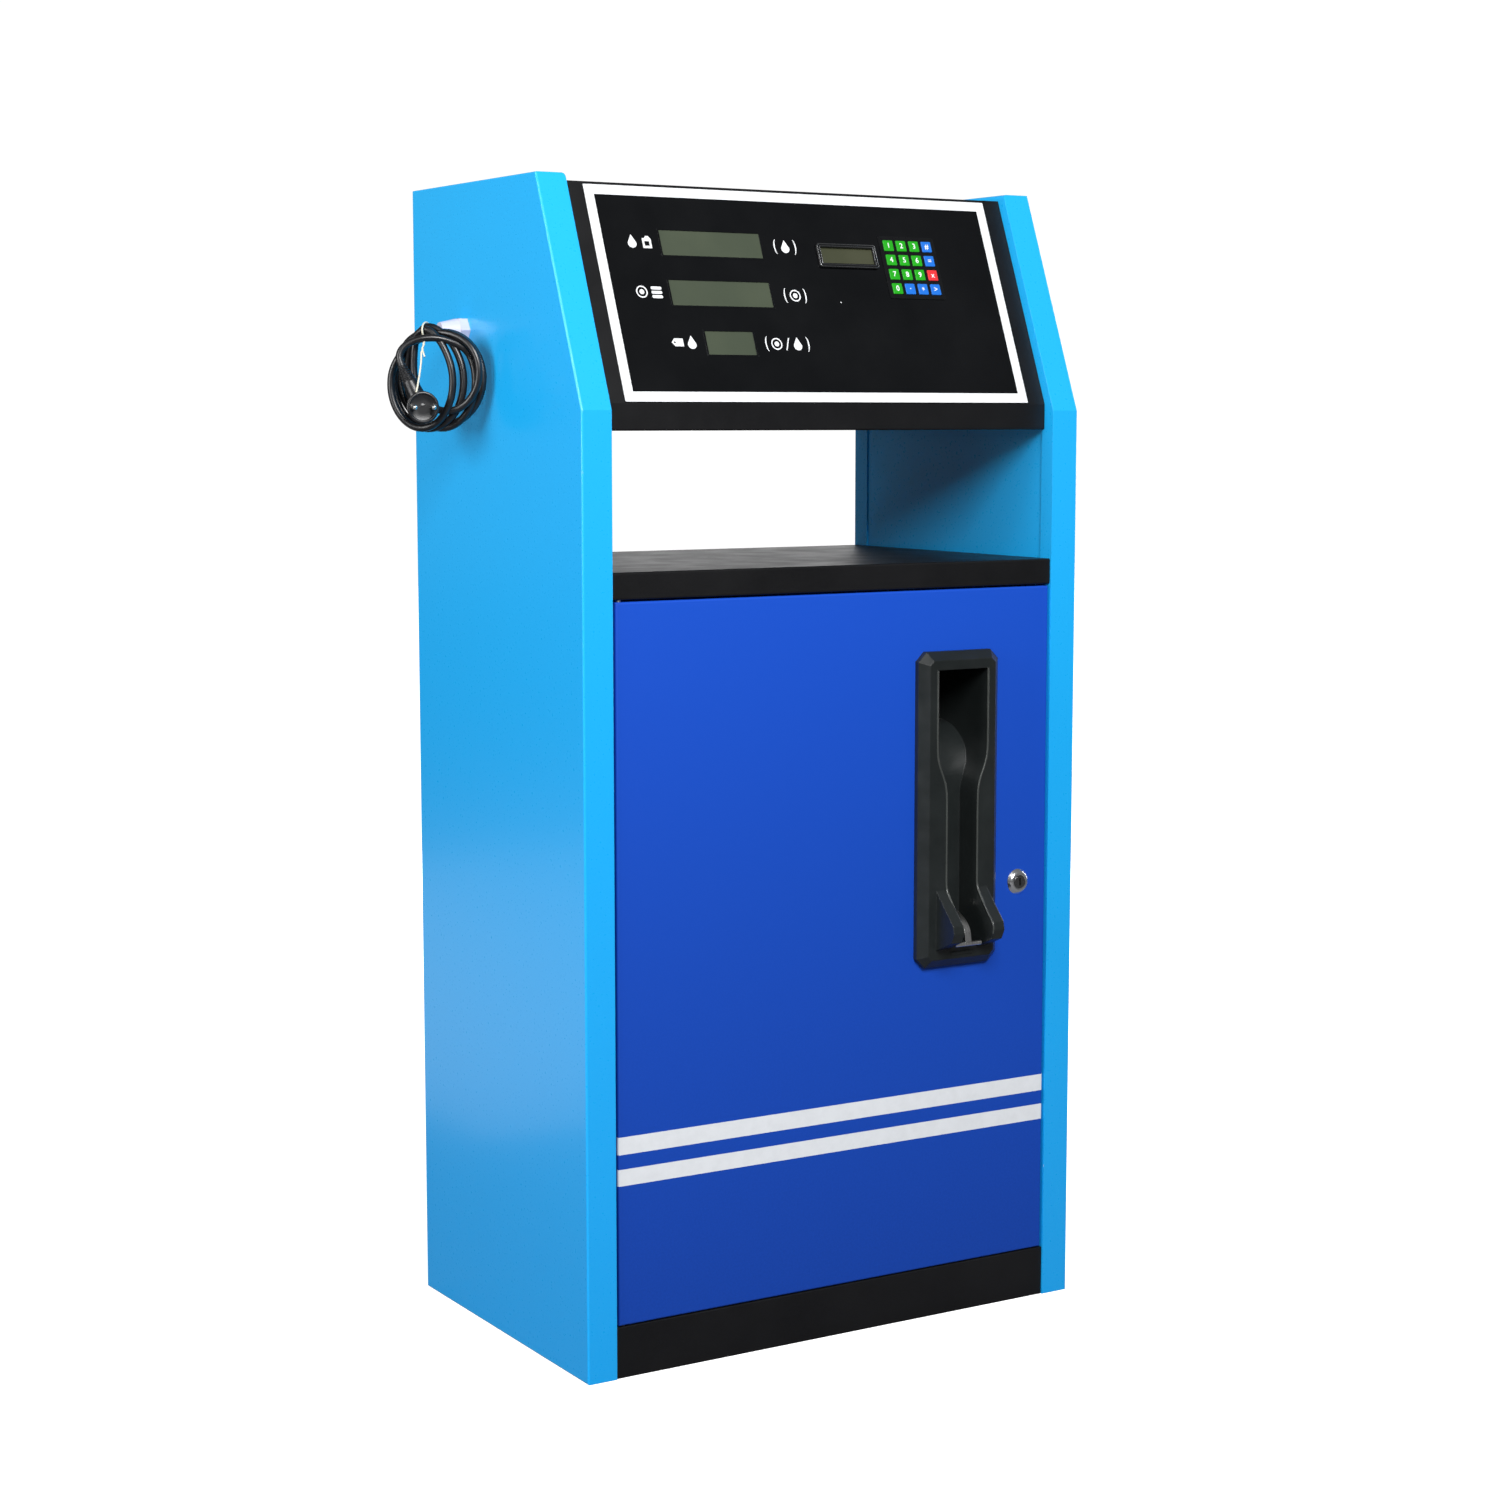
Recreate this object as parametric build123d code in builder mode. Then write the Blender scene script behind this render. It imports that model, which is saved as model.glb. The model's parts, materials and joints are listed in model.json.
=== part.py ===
from build123d import *
import math
import os

os.makedirs("parts", exist_ok=True)

# Frame: X runs to the right, Y to the rear, Z up. The origin is on the floor, in the middle
# of the footprint. All sizes are in millimetres.

# ---------------------------------------------------------------- cabinet
height = 1200.0              # top of the side posts
width = 600.0                # over both side posts
depth = 380.0                # front to rear
post_width = 33.0            # visible front flange of each side post
lean_rise = 232.0            # height of the leaning part of the posts
top_setback = 93.0           # how far the top edge stands behind the front
sheet = 1.5                  # cabinet sheet steel
bend_radius = 2.0            # outside radius of the folded edges
top_corner_radius = 4.0
front_lip = 20.0             # return flange inside each post's front edge
rear_lip = 25.0
liner_lap = 3.0              # inset of the bay liner's outline from the post's outline
side_gap = 0.3               # between a cross panel and a post

bend_height = height - lean_rise
lean = math.atan2(top_setback, lean_rise)
bay_half = width / 2 - post_width
panel_half = bay_half - side_gap
front = -depth / 2
rear = depth / 2
recess = 2.0                 # door, kick plate and rear panels stand behind the post faces
panel_front = front + recess
panel_rear = rear - recess

# ---------------------------------------------------------------- base, kick plate and shelf
base_thickness = 3.0
base_flange = 25.0
anchor_hole = 12.0
anchor_inset_x = 47.0        # from the bay's side to the anchor holes
anchor_inset_y = 50.0        # from the front and rear to the anchor holes
kick_height = 53.0
kick_flange = 30.0
shelf_thickness = 27.0
shelf_return = 22.0
bay_clear = 137.0            # open height between the shelf and the head

# ---------------------------------------------------------------- head
head_drop = 20.0             # head's bottom below the posts' bend
head_top_drop = 6.5          # head's top below the posts' top
head_lip = 27.0              # upright front lip
head_setback = 11.0          # from the posts' leaning face to the head's leaning face
head_rear_frame = 20.0       # flange around the head's rear opening
head_bottom = bend_height - head_drop
head_top = height - head_top_drop
head_bend = head_bottom + head_lip
shelf_height = head_bottom - bay_clear
shelf_bottom = shelf_height - shelf_thickness
fascia_thickness = 1.0
fascia_margin = 23.0         # black margin beside the fascia
fascia_half_width = bay_half - fascia_margin
fascia_start = 12.5          # distances up the leaning face, from its foot
fascia_end = 244.5
fascia_clearance = 0.5       # between a window's edge and the piece standing in it

# ---------------------------------------------------------------- rear louvres
louvre_width = 90.0
louvre_height = 7.0
louvre_stand = 6.0
louvre_pitch = 18.0
louvre_count = 8
louvre_columns = (-135.0, 135.0)
louvre_start = shelf_bottom - 184.0

# ---------------------------------------------------------------- display pieces, on the leaning face
lcd_depth = 6.0
board_thickness = 1.6
spacer_radius = 4.0
board_margin = 14.0
lcd_pair_width = 119.0
lcd_pair_height = 29.0
lcd_pair_x = -109.3
lcd_volume_y = 183.5
lcd_amount_y = 129.5
lcd_price_width = 57.5
lcd_price_height = 27.0
lcd_price_x = -110.2
lcd_price_y = 76.0
preset_x = 52.7
preset_y = 175.1
preset_width = 73.5
preset_height = 27.2
preset_window_width = 66.0
preset_window_height = 19.0
preset_stand = 2.6           # how far the preset bezel stands on the fascia
preset_radius = 3.0

key_size = 12.0
key_pitch = 16.2
keypad_x = 131.5
keypad_y = 164.4
keypad_border = 5.0
keypad_thickness = 0.8
key_gap = 0.3
key_stand = 0.9              # key top above the keypad frame
key_travel = 0.5
key_length = 4.6
key_corner = 1.0
key_edge = 0.4
key_names = [
    ["key_1", "key_2", "key_3", "key_price"],
    ["key_4", "key_5", "key_6", "key_total"],
    ["key_7", "key_8", "key_9", "key_clear"],
    ["key_0", "key_point", "key_preset", "key_enter"],
]

# ---------------------------------------------------------------- door
door_gap_bottom = 1.0
door_gap_top = 2.0
door_gap_pivot = 4.0
door_gap_lock = 2.0
door_bottom = kick_height + door_gap_bottom
door_top = shelf_bottom - door_gap_top
door_left = -bay_half + door_gap_pivot
door_right = bay_half - door_gap_lock
door_depth = 18.0
door_return = 14.0
pivot_inset = 6.0            # pivot axis from the door's front left corner, both ways
pivot_pin_radius = 3.0
pivot_bearing_gap = 0.05
pivot_clear_radius = 4.0
pivot_pin_reach = 9.0        # past the door's end walls
pivot_collar_radius = 6.0
pivot_collar_height = 2.0
bracket_thickness = 3.0
bracket_size = 18.0
bracket_gap = 0.2            # from the shelf's end wall

# ---------------------------------------------------------------- nozzle boot
boot_inset = 121.5           # boot's middle from the door's lock edge
boot_drop = 64.0             # boot's top below the door's top
boot_length = 335.0
boot_half_width = 51.0
boot_x = door_right - boot_inset
boot_top = door_top - boot_drop
boot_bottom = boot_top - boot_length
boot_corner = 10.0
boot_rim = 6.0               # upright part of the rim on the door
boot_bevel = 9.0
boot_back_depth = 78.0       # behind the door's front face
boot_body_half = 38.0
boot_wall = 4.0
spout_half = 32.0
spout_top = boot_bottom + 316.0
spout_neck_top = boot_bottom + 234.0
channel_half = 19.5
channel_neck = boot_bottom + 179.0
channel_bottom = boot_bottom + 22.0
channel_depth = 32.0
channel_roll = boot_bottom + 254.0         # where the channel floor turns back into the spout cavity
channel_roll_radius = 54.0
ear_width = 13.0
ear_top = boot_bottom + 83.0
ear_nose = boot_bottom + 45.0
ear_reach = 33.0
ear_foot = boot_bottom + 19.0
boot_ridge_width = 27.0
boot_ridge_bottom = boot_bottom + 13.0
boot_ridge_height = 3.0
boot_ridge_stand = 1.4
cutout_gap = 0.5

# ---------------------------------------------------------------- nozzle hook
hook_strip_width = 8.0
hook_strip = 2.5
hook_pin_radius = 2.5
hook_bearing_gap = 0.08
hook_hub_radius = 5.0
hook_pivot_behind = 9.0      # pivot axis behind the channel floor
hook_pivot_height = boot_bottom + 58.0
hook_bar_stand = 12.5        # cross bar in front of the boot's face
hook_bar_height = boot_bottom + 26.0
hook_bar_radius = 2.5
hook_bar_length = 33.0
cheek_gap = 6.5              # half the space between the cheeks that carry the hook
cheek_thickness = 4.0
cheek_bottom = boot_bottom + 47.0
cheek_top = boot_bottom + 101.0
cheek_depth = 28.0
hook_slot_half_height = 9.0
hook_tail = 15.0             # tail behind the pivot that works the switch
hook_tail_above = 2.0        # tail's top above the pivot axis
plunger_above = 4.8          # plunger's foot above the pivot axis
plunger_behind = 9.0
plunger_radius = 2.0
plunger_length = 4.0
switch_gap = 4.0
ear_brow = 5.0
ear_tip_drop = 4.0
ear_chin = 14.0
ear_round = 3.5

# ---------------------------------------------------------------- door lock
lock_inset = 36.6            # from the door's lock edge
lock_x = door_right - lock_inset
lock_z = boot_bottom + 81.3
lock_flange_radius = 14.0
lock_flange = 4.0
lock_face_radius = 9.6
lock_body_radius = 10.0
lock_rotor_radius = 7.0
lock_running_gap = 0.05
lock_cam_gap = 0.4
cam_thickness = 3.0
cam_width = 15.0
cam_reach = 47.0
cam_slot_gap = 2.0
cam_hole = 7.0               # square hole on the rotor
lock_slot_width = 1.8        # key slot
lock_slot_height = 8.4
lock_slot_depth = 13.0
lock_rotor_stand = 0.6       # rotor in front of the lock face

# ---------------------------------------------------------------- motor, pump and belt
belt_x = -150.0
belt_width = 12.0
belt_thickness = 5.0
belt_gap = 0.4
shaft_height = 100.0
motor_y = depth / 2 - 85.0
motor_left = -110.0
motor_right = 110.0
motor_radius = 70.0
motor_wall = 6.0
motor_fin = 6.0
motor_fin_thickness = 2.5
motor_fin_count = 24
motor_fin_inset = 25.0
motor_end_wall = 12.0
motor_seat = 6.0             # shaft seat in the far end wall
motor_core_inset = 30.0
motor_foot_half = 62.0
motor_core_radius = 48.0
motor_shaft_radius = 9.5
motor_pulley_radius = 30.0
pump_y = 120.0 - depth / 2
pump_left = -100.0
pump_right = 0.0
pump_radius = 68.0
pump_bore_radius = 50.0
pump_wall = 14.0
pump_cover_thickness = 12.0
pump_rotor_radius = 44.0
pump_shaft_radius = 10.0
pump_pulley_radius = 60.0
pump_foot_half = 55.0
pump_foot_inset = 15.0
running_gap = 0.05
foot_thickness = 10.0
pulley_rim = 2.0
foot_lap = 10.0              # pedestal's top inside the round housing
foot_neck = 0.6              # pedestal's half depth over its foot's half depth

# ---------------------------------------------------------------- pipework and meter
pipe_radius = 14.0
pipe_bore = 11.0
pipe_bend = 40.0
suction_x = 120.0
suction_z = 12.0
suction_hole_radius = 30.0
pump_port_z = shaft_height + pump_radius
port_wall = 6.0
port_stand = 6.0
inlet_stand = 14.0
suction_flange = 8.0
suction_flange_gap = 3.0
meter_flange_low = 88.0
meter_flange = 10.0
meter_flange_reach = 8.0
meter_seat_gap = 0.1
meter_inlet_depth = 40.0
encoder_stand = 8.0
encoder_hub = 16.0
outlet_flange = 12.0
outlet_flange_gap = 4.0
outlet_flange_reach = 6.0
outlet_depth = 50.0
meter_x = -60.0
meter_y = pump_y
meter_bottom = 420.0
meter_height = 120.0
meter_radius = 62.0
encoder_radius = 26.0
encoder_thickness = 2.0
encoder_shaft_radius = 4.0
encoder_seat = 12.0
outlet_z = 480.0
outlet_end = rear + 30.0
outlet_radius = 18.0
outlet_bore = 12.5
outlet_clearance = 2.0
valve_start = meter_y + 90.0
valve_length = 70.0
valve_half = 26.0
coil_radius = 20.0
coil_height = 55.0

# ---------------------------------------------------------------- mains lead
gland_y = 65.0
gland_z = height - 150.0
gland_radius = 12.0
gland_length = 29.0
gland_flat = 10.0            # length of the hexagon against the panel
gland_shank_radius = 10.0
gland_shank = 9.0
gland_nut = 5.0
panel_hole_gap = 0.2
cord_diameter = 7.6
cord_seat_gap = 0.1
box_length = 110.0
box_height = 70.0
box_depth = 40.0

coil_middle = Vector(-width / 2 - 47.0, gland_y - 30.0, gland_z - 48.0)
coil_across = Vector(0.692, -0.722, 0.0)
coil_out = Vector(-0.722, -0.692, 0.0)
coil_half_width = 51.0
coil_half_height = 57.0
coil_hole_half_width = 20.0
coil_hole_half_height = 28.0
coil_hole_up = 10.0
coil_half_thickness = 12.0

plug_radius = 16.5
plug_thickness = 18.0
plug_taper = 8.0
plug_gap = 0.6               # between the plug's rim and the coil
plug_across = -1.0           # middle of the pin face, across the coil from its middle
plug_down = 31.0
plug_turn = math.radians(27) # pins turned across, from the coil's outward direction
plug_pin_radius = 2.4
plug_pin_length = 19.0
plug_pin_spacing = 19.0
plug_grip_radius = 8.0
plug_grip_end_radius = 5.0
plug_grip_across = 22.0      # grip's end from the middle of the plug's body
plug_grip_up = 43.0

tie_across = -13.0
tie_up = 43.0
tie_wide = 3.0
tie_thick = 1.2
tie_tail = 55.0
tie_height = 26.0
tie_gap = 0.3

# ---------------------------------------------------------------- case screws
screw_radius = 2.5
screw_clearance = 0.2
screw_length = 9.0
screw_head_radius = 4.75
screw_head = 2.6
screw_recess = 1.6
screw_recess_radius = 1.75
screw_inset = 27.0
screw_x = bay_half - screw_inset


def finish(piece, name):
    """Label a finished piece and write it to its own file."""
    piece.part.label = name
    export_step(piece.part, f"parts/{name}.step")


def block(x_span, y_span, z_span, mode=Mode.ADD):
    """A box between the given limits, in the builder that is open."""
    centre = [(low + high) / 2 for low, high in (x_span, y_span, z_span)]
    size = [high - low for low, high in (x_span, y_span, z_span)]
    with Locations(tuple(centre)):
        Box(*size, mode=mode)


def rod(start, end, radius, mode=Mode.ADD):
    """A round bar from one point to another, in the builder that is open."""
    axis = Vector(*end) - Vector(*start)
    with Locations(Plane(origin=start, z_dir=axis).location):
        Cylinder(radius, axis.length, align=(Align.CENTER, Align.CENTER, Align.MIN), mode=mode)


def lean_y(z, inset):
    """Y of the leaning face at height z, moved inward by inset."""
    return front + (z - bend_height) * math.tan(lean) + inset / math.cos(lean)


def side_outline(inset, front_inset=None, rear_inset=None):
    """A post's side view, as Y and Z points, moved inward."""
    front_inset = inset if front_inset is None else front_inset
    rear_inset = inset if rear_inset is None else rear_inset
    front_y = front + front_inset
    bend_z = bend_height + (front_inset - front_inset / math.cos(lean)) / math.tan(lean)
    top_z = height - inset
    return [
        (front_y, inset),
        (front_y, bend_z),
        (lean_y(top_z, front_inset), top_z),
        (rear - rear_inset, top_z),
        (rear - rear_inset, inset),
    ]


# The head's leaning face: local X is across, local Y runs up the face, Z points out at the user.
head_lip_y = lean_y(head_bend, head_setback)
face_foot = (0.0, front + head_setback * math.cos(lean), bend_height - head_setback * math.sin(lean))
face_plane = Plane(origin=face_foot, x_dir=(1, 0, 0), z_dir=(0, -math.cos(lean), math.sin(lean)))
fascia_top = face_plane.offset(fascia_thickness)
board_level = lcd_depth - fascia_thickness


# ---------------------------------------------------------------- side posts and bay liners
cam_front = panel_front + door_depth + lock_cam_gap + sheet


def make_side_panel(side, name):
    with BuildPart() as panel:
        with BuildSketch(Plane.YZ.offset(side * width / 2)):
            Polygon(*side_outline(0), align=None)
        extrude(amount=-side * post_width)
        top_edge = panel.faces().sort_by(Axis.Z)[-1].edges().filter_by(Axis.Y).sort_by(Axis.X)
        fillet(top_edge[0 if side > 0 else -1], radius=top_corner_radius)
        outer_face = panel.faces().filter_by(Axis.X).sort_by(Axis.X)[-1 if side > 0 else 0]
        fillet(outer_face.edges(), radius=bend_radius)
        with BuildSketch(Plane.YZ.offset(side * (width / 2 - sheet))):
            Polygon(*side_outline(sheet), align=None)
        extrude(amount=-side * (post_width - 2 * sheet), mode=Mode.SUBTRACT)
        with BuildSketch(Plane.YZ.offset(side * (bay_half + sheet))):
            Polygon(*side_outline(front_lip, front_lip, rear_lip), align=None)
        extrude(amount=-side * sheet, mode=Mode.SUBTRACT)
        if side < 0:
            gland_hole = gland_shank_radius + panel_hole_gap
            rod((-width / 2 - 1, gland_y, gland_z), (-width / 2 + sheet + 1, gland_y, gland_z),
                gland_hole, Mode.SUBTRACT)
    finish(panel, name)


def make_bay_liner(side, name):
    with BuildPart() as liner:
        with BuildSketch(Plane.YZ.offset(side * (bay_half + sheet))):
            Polygon(*side_outline(liner_lap), align=None)
        extrude(amount=side * sheet)
        if side > 0:
            cam_sweep = math.sqrt(cam_reach ** 2 - (bay_half + sheet - lock_x) ** 2)
            block((bay_half, bay_half + 3 * sheet),
                  (cam_front - cam_slot_gap, cam_front + cam_thickness + cam_slot_gap),
                  (lock_z - cam_width / 2 - cam_slot_gap, lock_z + cam_sweep + cam_slot_gap), Mode.SUBTRACT)
        else:
            rod((-bay_half, gland_y, gland_z), (-bay_half - 3 * sheet, gland_y, gland_z),
                gland_shank_radius + panel_hole_gap, Mode.SUBTRACT)
    finish(liner, name)


for side, word in ((-1, "left"), (1, "right")):
    make_side_panel(side, f"side_panel_{word}")
    make_bay_liner(side, f"bay_liner_{word}")


# ---------------------------------------------------------------- base, kick plate, shelf
pivot_x = door_left + pivot_inset
pivot_y = panel_front + pivot_inset
rear_skin = (panel_rear - sheet, panel_rear)
flange_skin = (panel_rear - 2 * sheet, panel_rear - sheet)
screw_spots = [
    (base_flange + base_thickness) / 2,
    (shelf_bottom + shelf_height) / 2,
    head_bottom + head_rear_frame / 2,
    head_top - head_rear_frame / 2,
]


def screw_holes(heights):
    """Clearance holes for the case screws at the given heights."""
    for z in heights:
        for x in (-screw_x, screw_x):
            rod((x, flange_skin[0] - 1, z), (x, panel_rear + 1, z), screw_radius + screw_clearance,
                Mode.SUBTRACT)


with BuildPart() as base_plate:
    block((-panel_half, panel_half), (panel_front + sheet, flange_skin[1]), (0, base_thickness))
    block((-panel_half, panel_half), flange_skin, (0, base_flange))
    with BuildSketch(Plane.XY):
        with GridLocations(2 * (bay_half - anchor_inset_x), 2 * (rear - anchor_inset_y), 2, 2):
            Circle(anchor_hole / 2)
        with Locations((suction_x, pump_y)):
            Circle(suction_hole_radius)
    extrude(amount=base_thickness, mode=Mode.SUBTRACT)
    screw_holes(screw_spots[:1])
finish(base_plate, "base_plate")

with BuildPart() as kick_plate:
    block((-panel_half, panel_half), (panel_front, panel_front + sheet), (0, kick_height))
    block((-panel_half, panel_half), (panel_front, panel_front + kick_flange),
          (kick_height - sheet, kick_height))
    long_front = kick_plate.edges().filter_by(Axis.X).group_by(Axis.Y)[0].sort_by(Axis.Z)[-1]
    fillet(long_front, radius=bend_radius / 2)
    rod((pivot_x, pivot_y, kick_height - 2 * sheet), (pivot_x, pivot_y, kick_height + sheet),
        pivot_clear_radius, Mode.SUBTRACT)
finish(kick_plate, "kick_plate")

with BuildPart() as shelf_top:
    block((-panel_half, panel_half), (panel_front, flange_skin[1]), (shelf_bottom, shelf_height))
    shelf_edges = shelf_top.edges().filter_by(Axis.X).group_by(Axis.Y)[0]
    fillet(shelf_edges, radius=bend_radius)
    block((-panel_half + sheet, panel_half - sheet), (panel_front + sheet, flange_skin[0]),
          (shelf_bottom + sheet, shelf_height - sheet), Mode.SUBTRACT)
    block((-panel_half + shelf_return, panel_half - shelf_return),
          (panel_front + shelf_return, flange_skin[0]),
          (shelf_bottom, shelf_bottom + sheet), Mode.SUBTRACT)
    rod((pivot_x, pivot_y, shelf_bottom - sheet), (pivot_x, pivot_y, shelf_bottom + 2 * sheet),
        pivot_clear_radius, Mode.SUBTRACT)
    screw_holes(screw_spots[1:2])
finish(shelf_top, "shelf_top")


# ---------------------------------------------------------------- rear panel with louvres
with BuildPart() as rear_panel:
    block((-panel_half, panel_half), rear_skin, (base_thickness + side_gap, shelf_height - 2 * sheet))
    for column in louvre_columns:
        for row in range(louvre_count):
            slot_z = louvre_start + row * louvre_pitch
            block((column - louvre_width / 2, column + louvre_width / 2), rear_skin,
                  (slot_z, slot_z + louvre_height), Mode.SUBTRACT)
            with BuildSketch(Plane.YZ.offset(column - louvre_width / 2)):
                Polygon(
                    (panel_rear, slot_z + louvre_height),
                    (panel_rear, slot_z + louvre_height + sheet),
                    (panel_rear + louvre_stand, slot_z + sheet),
                    (panel_rear + louvre_stand, slot_z),
                    align=None,
                )
            extrude(amount=louvre_width)
    rod((meter_x, flange_skin[0], outlet_z), (meter_x, rear, outlet_z),
        outlet_radius + outlet_clearance, Mode.SUBTRACT)
    screw_holes(screw_spots[:2])
finish(rear_panel, "rear_panel")


# ---------------------------------------------------------------- head
def head_outline(inset):
    """The head shell's side view, as Y and Z points, moved inward."""
    return [
        (head_lip_y + inset, head_bottom + inset),
        (head_lip_y + inset, head_bend + inset * (1 - 1 / math.cos(lean)) / math.tan(lean)),
        (lean_y(head_top - inset, head_setback + inset), head_top - inset),
        (flange_skin[1] - inset, head_top - inset),
        (flange_skin[1] - inset, head_bottom + inset),
    ]


def face_windows(gap):
    """Openings in the leaning face for the displays and the keys, each gap larger than its piece."""
    for y in (lcd_volume_y, lcd_amount_y):
        with Locations((lcd_pair_x, y)):
            Rectangle(lcd_pair_width + 2 * gap, lcd_pair_height + 2 * gap)
    with Locations((lcd_price_x, lcd_price_y)):
        Rectangle(lcd_price_width + 2 * gap, lcd_price_height + 2 * gap)
    with Locations((preset_x, preset_y)):
        Rectangle(preset_window_width + 2 * gap, preset_window_height + 2 * gap)
    key_field = 3 * key_pitch + key_size
    with Locations((keypad_x, keypad_y)):
        Rectangle(key_field + 2 * gap, key_field + 2 * gap)


with BuildPart() as head_shell:
    with BuildSketch(Plane.YZ.offset(-panel_half)):
        Polygon(*head_outline(0), align=None)
    extrude(amount=2 * panel_half)
    fillet(head_shell.edges().filter_by(Axis.X).group_by(Axis.Y)[0], radius=bend_radius)
    with BuildSketch(Plane.YZ.offset(-panel_half)):
        Polygon(*head_outline(sheet), align=None)
    extrude(amount=2 * panel_half, mode=Mode.SUBTRACT)
    block((-screw_x + head_rear_frame, screw_x - head_rear_frame), flange_skin,
          (head_bottom + head_rear_frame, head_top - head_rear_frame), Mode.SUBTRACT)
    with BuildSketch(face_plane.offset(1)):
        face_windows(fascia_clearance)
    extrude(amount=-sheet - 2, mode=Mode.SUBTRACT)
    screw_holes(screw_spots[2:])
finish(head_shell, "head_shell")

with BuildPart() as head_rear_cover:
    block((-panel_half, panel_half), rear_skin, (head_bottom, head_top))
    rear_edges = head_rear_cover.edges().filter_by(Axis.X).group_by(Axis.Y)[-1]
    fillet(rear_edges, radius=sheet / 2)
    screw_holes(screw_spots[2:])
finish(head_rear_cover, "head_rear_cover")

with BuildPart() as display_fascia:
    with BuildSketch(face_plane):
        with Locations((0, (fascia_start + fascia_end) / 2)):
            Rectangle(2 * fascia_half_width, fascia_end - fascia_start)
    extrude(amount=fascia_thickness)
    with BuildSketch(face_plane):
        face_windows(fascia_clearance / 2)
    extrude(amount=fascia_thickness, mode=Mode.SUBTRACT)
finish(display_fascia, "display_fascia")


# ---------------------------------------------------------------- displays and their board
def lcd_module(x, y, across, tall):
    with BuildSketch(face_plane.offset(-board_level)) as outline:
        with Locations((x, y)):
            Rectangle(across, tall)
    extrude(outline.sketch, amount=lcd_depth - fascia_thickness / 2)


with BuildPart() as lcd_pair:
    for y in (lcd_volume_y, lcd_amount_y):
        lcd_module(lcd_pair_x, y, lcd_pair_width, lcd_pair_height)
finish(lcd_pair, "lcd_pair")

with BuildPart() as lcd_price:
    lcd_module(lcd_price_x, lcd_price_y, lcd_price_width, lcd_price_height)
finish(lcd_price, "lcd_price")

with BuildPart() as preset_lcd:
    lcd_module(preset_x, preset_y, preset_window_width, preset_window_height)
finish(preset_lcd, "preset_lcd")

with BuildPart() as preset_bezel:
    with BuildSketch(fascia_top):
        with Locations((preset_x, preset_y)):
            RectangleRounded(preset_width, preset_height, preset_radius)
    extrude(amount=preset_stand)
    fillet(preset_bezel.faces().sort_by(Axis.Y)[0].edges(), radius=preset_stand / 3)
    with BuildSketch(fascia_top):
        with Locations((preset_x, preset_y)):
            Rectangle(preset_window_width - 1, preset_window_height - 1)
    extrude(amount=preset_stand, mode=Mode.SUBTRACT)
finish(preset_bezel, "preset_bezel")

board_left = lcd_pair_x - lcd_pair_width / 2 - board_margin
board_right = keypad_x + key_pitch * 2 + board_margin
board_low = lcd_price_y - lcd_price_height / 2 - board_margin
board_high = lcd_volume_y + lcd_pair_height / 2 + board_margin

with BuildPart() as display_board:
    with BuildSketch(face_plane.offset(-board_level)):
        with Locations(((board_left + board_right) / 2, (board_low + board_high) / 2)):
            Rectangle(board_right - board_left, board_high - board_low)
    extrude(amount=-board_thickness)
    with BuildSketch(face_plane.offset(-board_level)):
        with Locations(((board_left + board_right) / 2, (board_low + board_high) / 2)):
            with GridLocations(board_right - board_left - board_margin,
                               board_high - board_low - board_margin, 2, 2):
                Circle(spacer_radius)
    extrude(amount=board_level - sheet)
finish(display_board, "display_board")


# ---------------------------------------------------------------- keypad
def key_spot(row, column):
    return (keypad_x + (column - 1.5) * key_pitch, keypad_y + (1.5 - row) * key_pitch)


with BuildPart() as keypad_frame:
    with BuildSketch(fascia_top):
        with Locations((keypad_x, keypad_y)):
            frame_side = 3 * key_pitch + key_size + 2 * keypad_border
            RectangleRounded(frame_side, frame_side, keypad_border / 2)
        with Locations(*[key_spot(row, column) for row in range(4) for column in range(4)]):
            Rectangle(key_size + 2 * key_gap, key_size + 2 * key_gap, mode=Mode.SUBTRACT)
    extrude(amount=keypad_thickness)
finish(keypad_frame, "keypad_frame")


def make_key(name, spot):
    with BuildPart() as key:
        with BuildSketch(fascia_top.offset(keypad_thickness + key_stand)):
            with Locations(spot):
                RectangleRounded(key_size, key_size, key_corner)
        extrude(amount=-key_length)
        fillet(key.faces().sort_by(Axis.Y)[0].edges(), radius=key_edge)
    finish(key, name)


for row, names in enumerate(key_names):
    for column, name in enumerate(names):
        make_key(name, key_spot(row, column))


# ---------------------------------------------------------------- door
with BuildPart() as door_panel:
    block((door_left, door_right), (panel_front, panel_front + door_depth), (door_bottom, door_top))
    front_edges = door_panel.faces().sort_by(Axis.Y)[0].edges()
    fillet(front_edges, radius=bend_radius)
    block((door_left + sheet, door_right - sheet), (panel_front + sheet, panel_front + door_depth - sheet),
          (door_bottom + sheet, door_top - sheet), Mode.SUBTRACT)
    block((door_left + door_return, door_right - door_return),
          (panel_front + sheet, panel_front + door_depth),
          (door_bottom + door_return, door_top - door_return), Mode.SUBTRACT)
    block((boot_x - boot_body_half - cutout_gap, boot_x + boot_body_half + cutout_gap),
          (panel_front - 1, panel_front + 2 * sheet),
          (channel_bottom - boot_wall * 2 - cutout_gap, spout_top + boot_wall + cutout_gap), Mode.SUBTRACT)
    rod((lock_x, panel_front - 1, lock_z), (lock_x, panel_front + 2 * sheet, lock_z),
        lock_body_radius + screw_clearance, Mode.SUBTRACT)
    for z in (door_bottom, door_top):
        rod((pivot_x, pivot_y, z - 2 * sheet), (pivot_x, pivot_y, z + 2 * sheet),
            pivot_pin_radius + pivot_bearing_gap, Mode.SUBTRACT)
finish(door_panel, "door_panel")

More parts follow.
